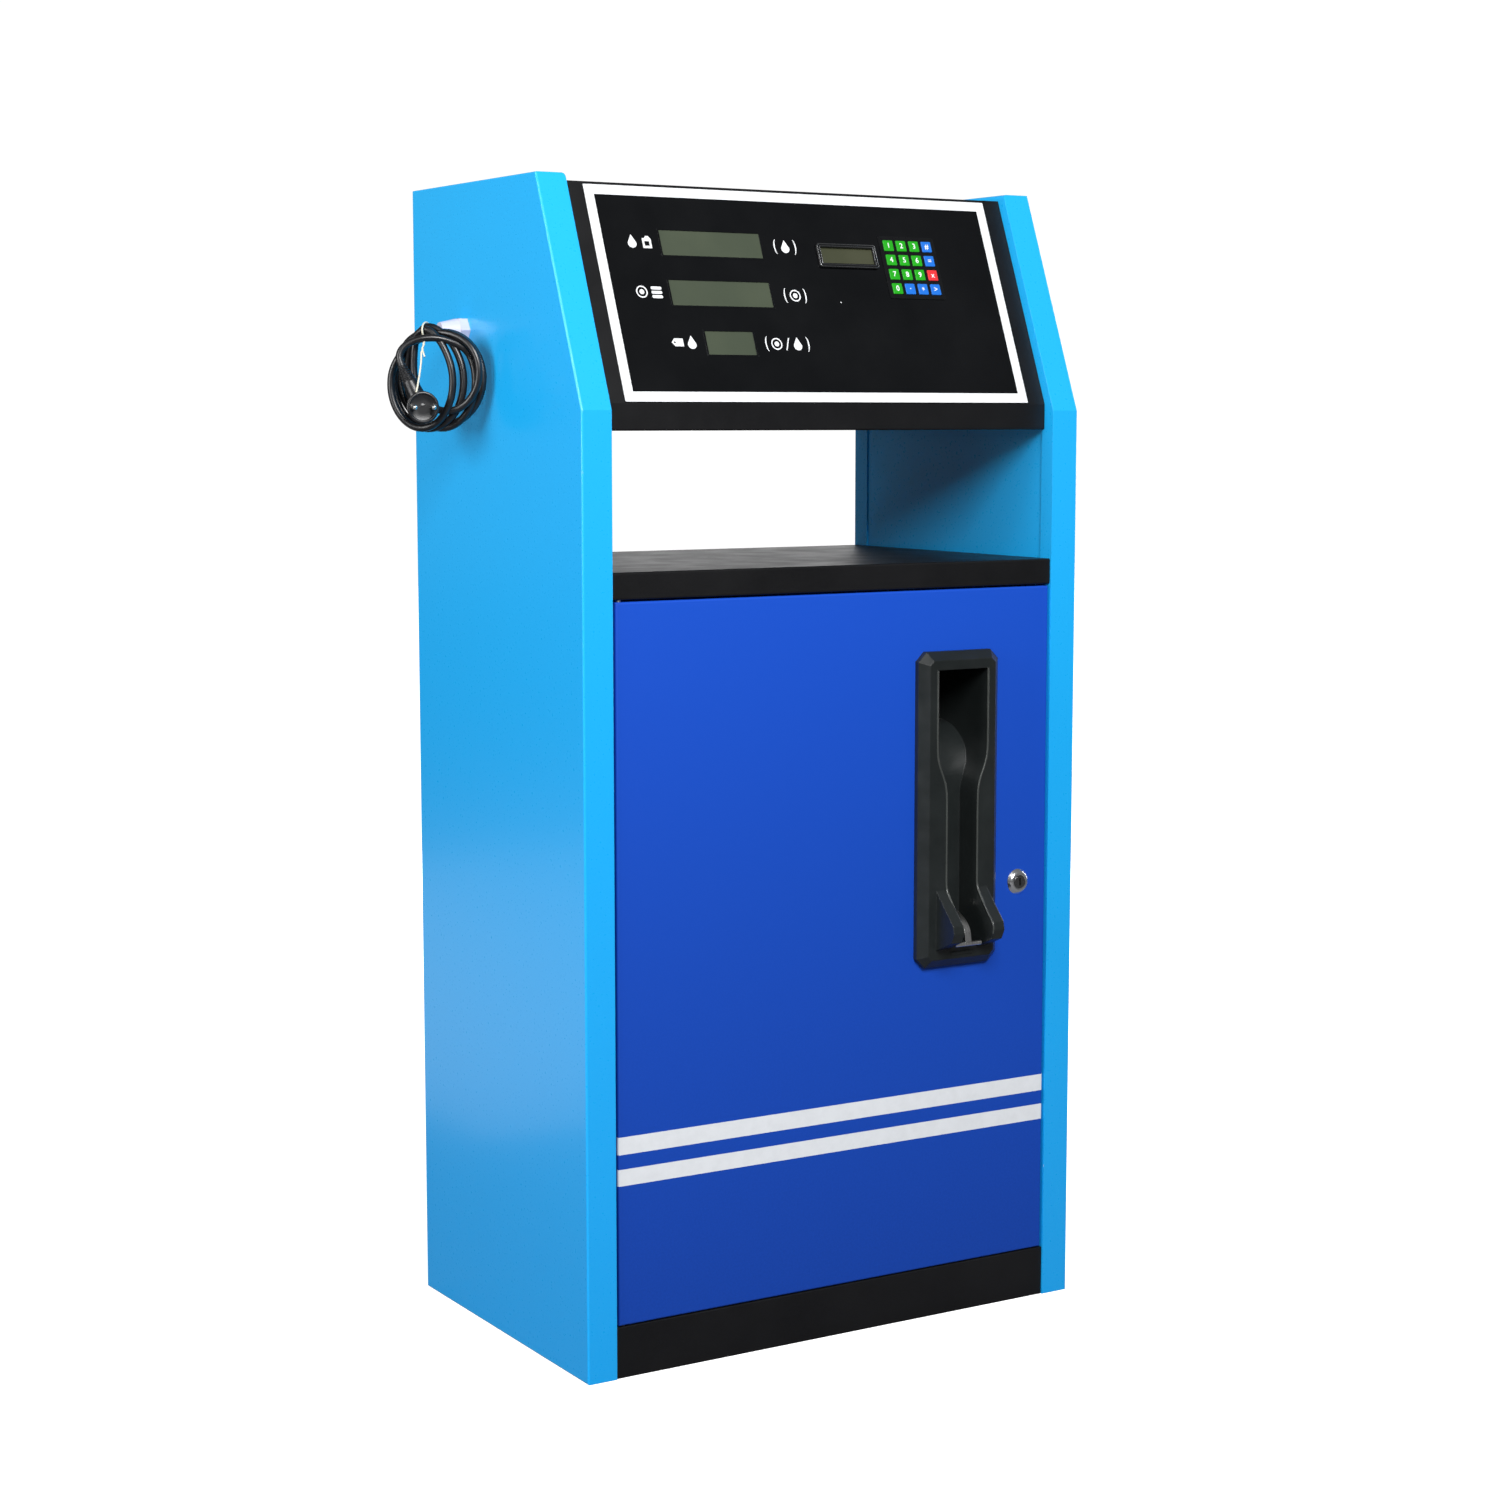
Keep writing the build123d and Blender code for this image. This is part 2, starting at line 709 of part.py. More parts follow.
with BuildPart() as door_pivot_pins:
    for end, inward in ((door_bottom, 1), (door_top, -1)):
        wall = end + inward * sheet
        rod((pivot_x, pivot_y, end - inward * pivot_pin_reach),
            (pivot_x, pivot_y, wall + inward * pivot_pin_reach), pivot_pin_radius)
        rod((pivot_x, pivot_y, wall), (pivot_x, pivot_y, wall + inward * pivot_collar_height),
            pivot_collar_radius - sheet)
finish(door_pivot_pins, "door_pivot_pins")

bracket_left = -panel_half + sheet + bracket_gap
with BuildPart() as door_pivot_brackets:
    for low in (kick_height - sheet - bracket_thickness, shelf_bottom + sheet):
        block((bracket_left, pivot_x + bracket_size),
              (panel_front + sheet, pivot_y + bracket_size), (low, low + bracket_thickness))
        rod((pivot_x, pivot_y, low - 1), (pivot_x, pivot_y, low + bracket_thickness + 1),
            pivot_pin_radius + pivot_bearing_gap, Mode.SUBTRACT)
finish(door_pivot_brackets, "door_pivot_brackets")


# ---------------------------------------------------------------- nozzle boot
boot_face = panel_front - boot_rim - boot_bevel
floor_y = boot_face + channel_depth
boot_back = panel_front + boot_back_depth
shallow_back = floor_y + boot_wall
hook_pivot_y = floor_y + hook_pivot_behind

front_plane = Plane(origin=(0, panel_front, 0), x_dir=(1, 0, 0), z_dir=(0, -1, 0))
with BuildPart() as nozzle_boot:
    with BuildSketch(front_plane) as boot_rim_outline:
        with Locations((boot_x, (boot_bottom + boot_top) / 2)):
            Rectangle(2 * boot_half_width, boot_top - boot_bottom)
        chamfer(boot_rim_outline.vertices(), length=boot_corner)
    extrude(amount=boot_rim)
    extrude(nozzle_boot.faces().sort_by(Axis.Y)[0], amount=boot_bevel, taper=45)
    # body behind the door: deep behind the spout, shallow behind the channel
    body_x = (boot_x - boot_body_half, boot_x + boot_body_half)
    body_low = channel_bottom - 2 * boot_wall
    block(body_x, (panel_front, shallow_back), (body_low, spout_top + boot_wall))
    block(body_x, (panel_front, boot_back),
          (channel_roll - channel_roll_radius - boot_wall, spout_top + boot_wall))
    # ears beside the foot of the channel
    for ear in (-1, 1):
        with BuildSketch(Plane.YZ.offset(boot_x + ear * channel_half)):
            with BuildLine():
                Polyline((boot_face, ear_top), (boot_face - ear_reach + 2, ear_nose + ear_brow),
                         (boot_face - ear_reach, ear_nose - ear_tip_drop),
                         (boot_face - ear_reach + 5, ear_nose - ear_chin),
                         (boot_face, ear_foot), (boot_face + 1, ear_foot), (boot_face + 1, ear_top),
                         close=True)
            make_face()
        extrude(amount=ear * ear_width)
    ear_edges = nozzle_boot.edges().filter_by(Axis.X).group_by(Axis.Y)[:2]
    fillet([edge for group in ear_edges for edge in group], radius=ear_round)
    # small retaining ridge under the hook
    block((boot_x - boot_ridge_width / 2, boot_x + boot_ridge_width / 2),
          (boot_face - boot_ridge_stand, boot_face + 1),
          (boot_ridge_bottom, boot_ridge_bottom + boot_ridge_height))
    # cavity for the grip and the spout
    cavity_plane = Plane(origin=(boot_x, boot_face - ear_reach - 1, 0), x_dir=(1, 0, 0), z_dir=(0, -1, 0))
    with BuildSketch(cavity_plane):
        with BuildLine():
            Line((0, spout_top), (spout_half, spout_top))
            Line((spout_half, spout_top), (spout_half, spout_neck_top))
            Spline((spout_half, spout_neck_top), (channel_half, channel_neck),
                   tangents=[(0, -1), (0, -1)])
            Line((channel_half, channel_neck), (channel_half, channel_bottom))
            Line((channel_half, channel_bottom), (0, channel_bottom))
            mirror(about=Plane.YZ)
        make_face()
    extrude(amount=-(channel_depth + ear_reach + 1), mode=Mode.SUBTRACT)
    block((boot_x - spout_half, boot_x + spout_half), (floor_y - 1, boot_back - boot_wall),
          (channel_roll, spout_top), Mode.SUBTRACT)
    floor_edge = nozzle_boot.edges().filter_by(Axis.X).sort_by_distance((boot_x, floor_y, channel_roll))[0]
    fillet(floor_edge, radius=channel_roll_radius)
    # cheeks that carry the hook and its switch
    for cheek in (-1, 1):
        inner = boot_x + cheek * cheek_gap
        outer = inner + cheek * cheek_thickness
        block((min(inner, outer), max(inner, outer)), (shallow_back, shallow_back + cheek_depth),
              (cheek_bottom, cheek_top))
    rod((boot_x - 2 * cheek_gap, hook_pivot_y, hook_pivot_height),
        (boot_x + 2 * cheek_gap, hook_pivot_y, hook_pivot_height),
        hook_pin_radius + hook_bearing_gap, Mode.SUBTRACT)
    block((boot_x - hook_strip_width / 2 - 1.5, boot_x + hook_strip_width / 2 + 1.5),
          (floor_y - 1, shallow_back + 1),
          (hook_pivot_height - hook_slot_half_height, hook_pivot_height + hook_slot_half_height),
          Mode.SUBTRACT)
finish(nozzle_boot, "nozzle_boot")


# ---------------------------------------------------------------- nozzle hook and its switch
bar_y = boot_face - hook_bar_stand
with BuildPart() as nozzle_hook:
    with BuildLine() as strip_line:
        Spline(
            (boot_x, hook_pivot_y, hook_pivot_height),
            (boot_x, floor_y - 18, hook_pivot_height - 1.5),
            (boot_x, bar_y + 4, hook_bar_height + 16),
            (boot_x, bar_y, hook_bar_height),
            tangents=[(0, -1, 0), (0, -0.15, -1)],
        )
    with BuildSketch(Plane(origin=strip_line.line @ 0, x_dir=(1, 0, 0), z_dir=strip_line.line % 0)):
        Rectangle(hook_strip_width, hook_strip)
    sweep()
    block((boot_x - hook_strip_width / 2, boot_x + hook_strip_width / 2),
          (hook_pivot_y, hook_pivot_y + hook_tail),
          (hook_pivot_height - 1, hook_pivot_height + hook_tail_above))
    rod((boot_x - hook_strip_width / 2, hook_pivot_y, hook_pivot_height),
        (boot_x + hook_strip_width / 2, hook_pivot_y, hook_pivot_height), hook_hub_radius)
    pin_half = cheek_gap + cheek_thickness + 1
    rod((boot_x - pin_half, hook_pivot_y, hook_pivot_height),
        (boot_x + pin_half, hook_pivot_y, hook_pivot_height), hook_pin_radius)
    rod((boot_x - hook_bar_length / 2, bar_y, hook_bar_height),
        (boot_x + hook_bar_length / 2, bar_y, hook_bar_height), hook_bar_radius)
    bar_ends = nozzle_hook.faces().filter_by(Axis.X).sort_by(Axis.X)
    chamfer(bar_ends[0].edges() + bar_ends[-1].edges(), length=0.6)
finish(nozzle_hook, "nozzle_hook")

plunger_foot = hook_pivot_height + plunger_above
with BuildPart() as hook_switch:
    block((boot_x - cheek_gap, boot_x + cheek_gap),
          (shallow_back + switch_gap, shallow_back + cheek_depth),
          (plunger_foot + plunger_length - 1, cheek_top - 2))
    rod((boot_x, hook_pivot_y + plunger_behind, plunger_foot),
        (boot_x, hook_pivot_y + plunger_behind, plunger_foot + plunger_length), plunger_radius)
finish(hook_switch, "hook_switch")


# ---------------------------------------------------------------- door lock
lock_front = panel_front - lock_flange
lock_middle = Plane.YZ.offset(lock_x).shift_origin((lock_x, 0, lock_z))
with BuildPart() as lock_body:
    with BuildSketch(lock_middle):
        with BuildLine():
            Polyline(
                (lock_front, lock_rotor_radius + lock_running_gap),
                (lock_front, lock_face_radius),
                (panel_front - 1, lock_flange_radius),
                (panel_front, lock_flange_radius),
                (panel_front, lock_body_radius),
                (cam_front - lock_cam_gap, lock_body_radius),
                (cam_front - lock_cam_gap, lock_rotor_radius + lock_running_gap),
                close=True,
            )
        make_face()
    revolve(axis=Axis((lock_x, 0, lock_z), (0, 1, 0)))
finish(lock_body, "lock_body")

with BuildPart() as lock_rotor:
    rod((lock_x, lock_front - lock_rotor_stand, lock_z), (lock_x, cam_front, lock_z), lock_rotor_radius)
    block((lock_x - cam_hole / 2, lock_x + cam_hole / 2), (cam_front, cam_front + cam_thickness + 2),
          (lock_z - cam_hole / 2, lock_z + cam_hole / 2))
    block((lock_x - lock_slot_width / 2, lock_x + lock_slot_width / 2),
          (lock_front - 1, lock_front - 1 + lock_slot_depth),
          (lock_z - lock_slot_height / 2, lock_z + lock_slot_height / 2), Mode.SUBTRACT)
finish(lock_rotor, "lock_rotor")

with BuildPart() as lock_cam:
    with BuildSketch(Plane(origin=(lock_x, cam_front, lock_z), x_dir=(1, 0, 0), z_dir=(0, -1, 0))):
        with Locations((0, (cam_reach - cam_width / 2) / 2)):
            Rectangle(cam_width, cam_reach - cam_width / 2)
        with Locations((0, 0), (0, cam_reach - cam_width / 2)):
            Circle(cam_width / 2)
        Rectangle(cam_hole, cam_hole, mode=Mode.SUBTRACT)
    extrude(amount=-cam_thickness)
finish(lock_cam, "lock_cam")


# ---------------------------------------------------------------- motor
def across(x_start, x_end, y, radius, mode=Mode.ADD):
    """A cylinder along X at shaft height."""
    rod((x_start, y, shaft_height), (x_end, y, shaft_height), radius, mode)


def foot(x_span, y, half, top):
    """A pedestal from the base plate up into a round housing."""
    block(x_span, (y - half, y + half), (base_thickness, base_thickness + foot_thickness))
    block(x_span, (y - half * foot_neck, y + half * foot_neck), (base_thickness, top))


with BuildPart() as pump_motor:
    across(motor_left, motor_right, motor_y, motor_radius)
    for step in range(motor_fin_count):
        angle = 2 * math.pi * step / motor_fin_count
        fin_plane = Plane(
            origin=(motor_left + motor_fin_inset, motor_y, shaft_height),
            x_dir=(0, math.cos(angle), math.sin(angle)), z_dir=(1, 0, 0))
        with BuildSketch(fin_plane):
            with Locations((motor_radius + motor_fin / 2 - 1, 0)):
                Rectangle(motor_fin + 2, motor_fin_thickness)
        extrude(amount=motor_right - motor_left - 2 * motor_fin_inset)
    foot((motor_left + motor_core_inset, motor_right - motor_core_inset), motor_y, motor_foot_half,
         shaft_height - motor_radius + foot_lap)
    across(motor_left + motor_end_wall, motor_right - motor_end_wall, motor_y,
           motor_radius - motor_wall, Mode.SUBTRACT)
    across(motor_left - 1, motor_right - motor_seat, motor_y, motor_shaft_radius + running_gap,
           Mode.SUBTRACT)
finish(pump_motor, "pump_motor")


def pulley(y, radius):
    """A flanged pulley for the belt, on a shaft along X."""
    half = belt_width / 2 + 1
    across(belt_x - half, belt_x + half, y, radius - belt_gap)
    for edge in (belt_x - half - pulley_rim, belt_x + half):
        across(edge, edge + pulley_rim, y, radius + belt_thickness * 0.7)


with BuildPart() as motor_rotor:
    across(belt_x - belt_width, motor_right - motor_seat - 1, motor_y, motor_shaft_radius)
    across(motor_left + motor_core_inset, motor_right - motor_core_inset, motor_y, motor_core_radius)
    pulley(motor_y, motor_pulley_radius)
finish(motor_rotor, "motor_rotor")


# ---------------------------------------------------------------- pump
with BuildPart() as pump_housing:
    across(pump_left, pump_right, pump_y, pump_radius)
    foot((pump_left + pump_foot_inset, pump_right - pump_foot_inset), pump_y, pump_foot_half,
         shaft_height - pump_radius + foot_lap)
    across(pump_left + pump_wall, pump_right + 1, pump_y, pump_bore_radius, Mode.SUBTRACT)
    across(pump_left - 1, pump_left + pump_wall + 1, pump_y, pump_shaft_radius + running_gap, Mode.SUBTRACT)
    rod((meter_x, pump_y, shaft_height + pump_bore_radius - 10),
        (meter_x, pump_y, pump_port_z + port_stand), pipe_radius + port_wall)
    rod((meter_x, pump_y, shaft_height), (meter_x, pump_y, pump_port_z + port_stand + 1), pipe_bore,
        Mode.SUBTRACT)
    across(pump_left + pump_wall, pump_right + 1, pump_y, pump_bore_radius, Mode.SUBTRACT)
finish(pump_housing, "pump_housing")

suction_start = pump_right + pump_cover_thickness + inlet_stand
with BuildPart() as pump_cover:
    across(pump_right, pump_right + pump_cover_thickness, pump_y, pump_radius)
    across(pump_right + pump_cover_thickness, suction_start, pump_y, pipe_radius + port_wall)
    across(pump_right - 1, suction_start + 1, pump_y, pipe_bore, Mode.SUBTRACT)
finish(pump_cover, "pump_cover")

with BuildPart() as pump_rotor:
    across(belt_x - belt_width, pump_left + pump_wall + 2, pump_y, pump_shaft_radius)
    across(pump_left + pump_wall + 1, pump_right - 2, pump_y, pump_rotor_radius)
    pulley(pump_y, pump_pulley_radius)
finish(pump_rotor, "pump_rotor")


def belt_loop(inset, mode=Mode.ADD):
    """The loop round both pulleys, its outline moved inward by inset."""
    with BuildSketch(Plane.YZ.offset(belt_x - belt_width / 2)) as outline:
        with Locations((motor_y, shaft_height)):
            Circle(motor_pulley_radius + belt_thickness - inset)
        with Locations((pump_y, shaft_height)):
            Circle(pump_pulley_radius + belt_thickness - inset)
        make_hull()
    extrude(outline.sketch, amount=belt_width, mode=mode)


with BuildPart() as drive_belt:
    belt_loop(0)
    belt_loop(belt_thickness, Mode.SUBTRACT)
finish(drive_belt, "drive_belt")


# ---------------------------------------------------------------- pipework, meter and valve
with BuildPart() as suction_pipe:
    with BuildLine():
        FilletPolyline((suction_start, pump_y, shaft_height), (suction_x, pump_y, shaft_height),
                       (suction_x, pump_y, suction_z), radius=pipe_bend)
    with BuildSketch(Plane.YZ.offset(suction_start)):
        with Locations((pump_y, shaft_height)):
            Circle(pipe_radius)
            Circle(pipe_bore, mode=Mode.SUBTRACT)
    sweep()
    with BuildSketch(Plane.XY.offset(suction_z - suction_flange)):
        with Locations((suction_x, pump_y)):
            Circle(suction_hole_radius - suction_flange_gap)
            Circle(pipe_bore, mode=Mode.SUBTRACT)
    extrude(amount=suction_flange)
finish(suction_pipe, "suction_pipe")

with BuildPart() as delivery_pipe:
    with BuildSketch(Plane.XY.offset(pump_port_z + port_stand)):
        with Locations((meter_x, pump_y)):
            Circle(pipe_radius)
            Circle(pipe_bore, mode=Mode.SUBTRACT)
    extrude(amount=meter_bottom - pump_port_z - port_stand)
finish(delivery_pipe, "delivery_pipe")

with BuildPart() as flow_meter:
    rod((meter_x, meter_y, meter_bottom), (meter_x, meter_y, meter_bottom + meter_height), meter_radius)
    flange_low = meter_bottom + meter_flange_low
    rod((meter_x, meter_y, flange_low), (meter_x, meter_y, flange_low + meter_flange),
        meter_radius + meter_flange_reach)
    chamfer(flow_meter.edges().filter_by(GeomType.CIRCLE).group_by(Axis.Z)[-1], length=meter_flange_reach)
    rod((meter_x, meter_y, meter_bottom + meter_height - encoder_seat),
        (meter_x, meter_y, meter_bottom + meter_height + 1), encoder_shaft_radius + running_gap,
        Mode.SUBTRACT)
    rod((meter_x, meter_y, meter_bottom - 1), (meter_x, meter_y, meter_bottom + meter_inlet_depth),
        pipe_bore, Mode.SUBTRACT)
finish(flow_meter, "flow_meter")

with BuildPart() as meter_encoder:
    meter_top = meter_bottom + meter_height
    rod((meter_x, meter_y, meter_top - encoder_seat + 1), (meter_x, meter_y, meter_top + encoder_hub),
        encoder_shaft_radius)
    rod((meter_x, meter_y, meter_top + encoder_stand),
        (meter_x, meter_y, meter_top + encoder_stand + encoder_thickness), encoder_radius)
finish(meter_encoder, "meter_encoder")

with BuildPart() as outlet_valve:
    rod((meter_x, meter_y + meter_radius - 2, outlet_z), (meter_x, outlet_end, outlet_z), outlet_radius)
    block((meter_x - valve_half, meter_x + valve_half), (valve_start, valve_start + valve_length),
          (outlet_z - valve_half, outlet_z + valve_half))
    rod((meter_x, valve_start + valve_length / 2, outlet_z + valve_half),
        (meter_x, valve_start + valve_length / 2, outlet_z + valve_half + coil_height), coil_radius)
    flange_y = panel_rear + outlet_flange_gap
    rod((meter_x, flange_y, outlet_z), (meter_x, flange_y + outlet_flange, outlet_z),
        outlet_radius + outlet_flange_reach)
    rod((meter_x, outlet_end - outlet_depth, outlet_z), (meter_x, outlet_end + 1, outlet_z), outlet_bore,
        Mode.SUBTRACT)
    rod((meter_x, meter_y, outlet_z - outlet_radius - 1), (meter_x, meter_y, outlet_z + outlet_radius + 1),
        meter_radius + meter_seat_gap, Mode.SUBTRACT)
finish(outlet_valve, "outlet_valve")

with BuildPart() as junction_box:
    block((-bay_half - sheet, -bay_half - sheet + box_depth),
          (gland_y - box_length / 2, gland_y + box_length / 2),
          (gland_z - box_height / 2, gland_z + box_height / 2))
    fillet(junction_box.edges().filter_by(Axis.X), radius=4)
    rod((-bay_half - 2 * sheet, gland_y, gland_z), (-bay_half + 8, gland_y, gland_z), 8, Mode.SUBTRACT)
finish(junction_box, "junction_box")


# ---------------------------------------------------------------- case screws
with BuildPart() as case_screws:
    for z in screw_spots:
        for x in (-screw_x, screw_x):
            rod((x, panel_rear, z), (x, panel_rear - screw_length, z), screw_radius)
            rod((x, panel_rear, z), (x, panel_rear + screw_head, z), screw_head_radius)
            rod((x, panel_rear + screw_head - screw_recess, z), (x, panel_rear + screw_head + 1, z),
                screw_recess_radius, Mode.SUBTRACT)
finish(case_screws, "case_screws")


# ---------------------------------------------------------------- mains lead
panel_x = -width / 2
gland_end = panel_x - gland_length
with BuildPart() as power_gland:
    with BuildSketch(Plane.YZ.offset(panel_x)):
        with Locations((gland_y, gland_z)):
            RegularPolygon(gland_radius, 6, major_radius=False)
    extrude(amount=-gland_flat)
    with BuildSketch(Plane.YZ.offset(panel_x - gland_flat)):
        with Locations((gland_y, gland_z)):
            Circle(gland_radius)
    extrude(amount=-(gland_length - gland_flat), taper=12)
    rod((panel_x, gland_y, gland_z), (panel_x + gland_shank, gland_y, gland_z), gland_shank_radius)
    with BuildSketch(Plane.YZ.offset(panel_x + sheet)):
        with Locations((gland_y, gland_z)):
            RegularPolygon(gland_radius + 1, 6, major_radius=False)
    extrude(amount=gland_nut)
    rod((gland_end - 1, gland_y, gland_z), (gland_end + 6, gland_y, gland_z),
        cord_diameter / 2 + cord_seat_gap, Mode.SUBTRACT)
finish(power_gland, "power_gland")

# The lead's route from the gland into the coil, as points chosen by hand.
cord_route = [
    (-323.0, 65.0, 1050.0),
    (-334.5, 65.0, 1050.0),
    (-345.6, 66.1, 1048.0),
    (-356.2, 68.4, 1043.0),
    (-365.4, 70.0, 1034.5),
]


def corner_radii(points):
    """The largest radius that each corner of a route allows."""
    radii = []
    for before, corner, after in zip(points, points[1:], points[2:]):
        first = Vector(*corner) - Vector(*before)
        second = Vector(*after) - Vector(*corner)
        half_turn = math.radians(first.get_angle(second)) / 2
        radii.append(0.45 * min(first.length, second.length) / math.tan(half_turn))
    return radii


cord_radii = corner_radii(cord_route)
print("cord radii:", [round(radius, 1) for radius in cord_radii])
with BuildPart() as power_cord:
    with BuildLine() as cord_line:
        FilletPolyline(*cord_route, radius=cord_radii)
    with BuildSketch(Plane(origin=cord_route[0], z_dir=cord_line.line % 0)):
        Circle(cord_diameter / 2)
    sweep()
finish(power_cord, "power_cord")
cord_section = math.pi * (cord_diameter / 2) ** 2
cord_length = sum(edge.length for edge in cord_line.edges())
print("cord tube length:", round(cord_length, 2), "volume over section times length:",
      round(power_cord.part.volume / (cord_section * cord_length), 4))

coil_plane = Plane(origin=coil_middle, x_dir=coil_across, z_dir=coil_out)
with BuildPart() as cord_coil:
    with BuildSketch(coil_plane.offset(-coil_half_thickness)):
        Ellipse(coil_half_width, coil_half_height)
        with Locations((0, coil_hole_up)):
            Ellipse(coil_hole_half_width, coil_hole_half_height, mode=Mode.SUBTRACT)
    extrude(amount=2 * coil_half_thickness)
finish(cord_coil, "cord_coil")

# The angled plug hangs in front of the coil. Its pins point outwards and a little across.
pin_direction = coil_across * math.sin(plug_turn) + coil_out * math.cos(plug_turn)
plug_back_radius = plug_radius - plug_thickness * math.tan(math.radians(plug_taper))
plug_out = (coil_half_thickness + plug_gap + plug_back_radius * math.sin(plug_turn)
            + plug_thickness * math.cos(plug_turn))
plug_face = coil_plane.from_local_coords((plug_across, -plug_down, plug_out))
plug_heart = plug_face - pin_direction * (plug_thickness / 2)
grip_end = plug_heart - coil_across * plug_grip_across + Vector(0, 0, plug_grip_up)
grip_axis = grip_end - plug_heart
plug_plane = Plane(origin=plug_face, x_dir=coil_across * math.cos(plug_turn) - coil_out * math.sin(plug_turn),
                   z_dir=pin_direction)
with BuildPart() as mains_plug:
    with BuildSketch(plug_plane):
        Circle(plug_radius)
    extrude(amount=-plug_thickness, taper=plug_taper)
    with BuildSketch(Plane(origin=plug_heart, z_dir=grip_axis)):
        Circle(plug_grip_radius)
    with BuildSketch(Plane(origin=grip_end, z_dir=grip_axis)):
        Circle(plug_grip_end_radius)
    loft()
    with BuildSketch(plug_plane):
        with GridLocations(plug_pin_spacing, 0, 2, 1):
            Circle(plug_pin_radius)
    extrude(amount=plug_pin_length)
finish(mains_plug, "mains_plug")

tie_plane = Plane(origin=coil_plane.from_local_coords((tie_across, tie_up, 0)), x_dir=coil_out,
                  z_dir=-coil_across)
tie_inner = (2 * (coil_half_thickness + tie_gap), tie_height)
with BuildPart() as cord_tie:
    with BuildSketch(tie_plane.offset(-tie_wide / 2)):
        Rectangle(tie_inner[0] + 2 * tie_thick, tie_inner[1] + 2 * tie_thick)
        Rectangle(*tie_inner, mode=Mode.SUBTRACT)
    extrude(amount=tie_wide)
    with BuildSketch(tie_plane.offset(-tie_wide / 2)):
        with Locations((tie_inner[0] / 2 + tie_thick / 2, -tie_inner[1] / 2 - tie_tail / 2)):
            Rectangle(tie_thick, tie_tail)
    extrude(amount=tie_wide)
finish(cord_tie, "cord_tie")
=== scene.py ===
import json
import math

import bmesh
import bpy
from mathutils import Matrix, Vector


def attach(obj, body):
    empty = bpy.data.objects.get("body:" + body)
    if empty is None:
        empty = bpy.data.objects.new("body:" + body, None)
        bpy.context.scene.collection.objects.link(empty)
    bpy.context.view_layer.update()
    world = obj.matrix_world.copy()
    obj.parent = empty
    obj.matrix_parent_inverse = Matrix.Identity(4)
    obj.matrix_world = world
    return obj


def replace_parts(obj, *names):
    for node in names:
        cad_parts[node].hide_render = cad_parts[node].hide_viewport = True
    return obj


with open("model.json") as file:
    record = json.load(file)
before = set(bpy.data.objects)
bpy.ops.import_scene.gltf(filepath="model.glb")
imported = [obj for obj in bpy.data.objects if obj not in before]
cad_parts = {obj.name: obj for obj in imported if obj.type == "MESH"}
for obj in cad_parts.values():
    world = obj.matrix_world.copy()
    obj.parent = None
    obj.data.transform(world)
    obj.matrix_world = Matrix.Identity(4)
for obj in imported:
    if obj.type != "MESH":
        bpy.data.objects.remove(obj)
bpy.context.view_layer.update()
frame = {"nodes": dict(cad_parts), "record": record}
MM = 0.001


# ------------------------------------------------------------------ camera
def make_camera():
    """A camera a little above the keypad's height, in front of the left corner."""
    data = bpy.data.cameras.new("camera")
    data.lens = 67.16
    data.sensor_width = 36.0
    data.clip_end = 50.0
    camera = bpy.data.objects.new("camera", data)
    camera.location = (-1.5701, -2.5799, 0.9624)
    camera.rotation_euler = (math.pi / 2 - 0.1188, 0.0, -0.5482)
    bpy.context.scene.collection.objects.link(camera)
    bpy.context.scene.camera = camera


make_camera()


# ------------------------------------------------------------------ mesh helpers
def link(obj):
    """Puts an object in the scene."""
    bpy.context.scene.collection.objects.link(obj)
    return obj


def mesh_object(name, bm, smooth_angle=None):
    """A new object from a bmesh, shaded smooth below the given angle in degrees."""
    mesh = bpy.data.meshes.new(name)
    bmesh.ops.remove_doubles(bm, verts=bm.verts, dist=1e-6)
    bmesh.ops.recalc_face_normals(bm, faces=bm.faces)
    bm.to_mesh(mesh)
    bm.free()
    obj = link(bpy.data.objects.new(name, mesh))
    if smooth_angle is not None:
        mesh.shade_smooth()
        mesh.set_sharp_from_angle(angle=math.radians(smooth_angle))
    return obj


def place(obj, body, material):
    """Gives a piece its material and the body that carries it."""
    obj.data.materials.clear()
    obj.data.materials.append(material)
    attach(obj, body)
    return obj


def nurbs_tube(name, points, radius, order, bevel, resolution):
    """A round tube along one open NURBS line, with the points as its control points."""
    curve = bpy.data.curves.new(name, "CURVE")
    curve.dimensions = "3D"
    curve.bevel_depth = radius
    curve.bevel_resolution = bevel
    curve.resolution_u = resolution
    curve.use_fill_caps = True
    spline = curve.splines.new("NURBS")
    spline.points.add(len(points) - 1)
    for target, point in zip(spline.points, points):
        target.co = (*point, 1.0)
    spline.order_u = order
    spline.use_endpoint_u = True
    return curve


# ------------------------------------------------------------------ mains lead
COIL_MIDDLE = Vector((-0.347, 0.035, 1.002))
COIL_ACROSS = Vector((0.692, -0.722, 0.0))
COIL_OUT = Vector((-0.722, -0.692, 0.0))
UP = Vector((0.0, 0.0, 1.0))
CORD_DIAMETER = 0.0076
CORD_ROUTE = [
    (-0.3230, 0.0650, 1.0500),
    (-0.3345, 0.0650, 1.0500),
    (-0.3456, 0.0661, 1.0480),
    (-0.3562, 0.0684, 1.0430),
    (-0.3654, 0.0700, 1.0345),
]
# Each turn in the coil's own frame, in mm: its middle across and up, its half sizes, and its depth.
TURNS = [
    (2.0, -1.0, 47.0, 49.5, -8.0),
    (-9.0, -4.0, 39.5, 50.0, -1.0),
    (13.0, 5.0, 36.0, 41.0, 4.5),
    (-13.0, -5.0, 35.0, 48.5, 8.0),
    (4.0, -4.0, 38.0, 49.5, -4.0),
]
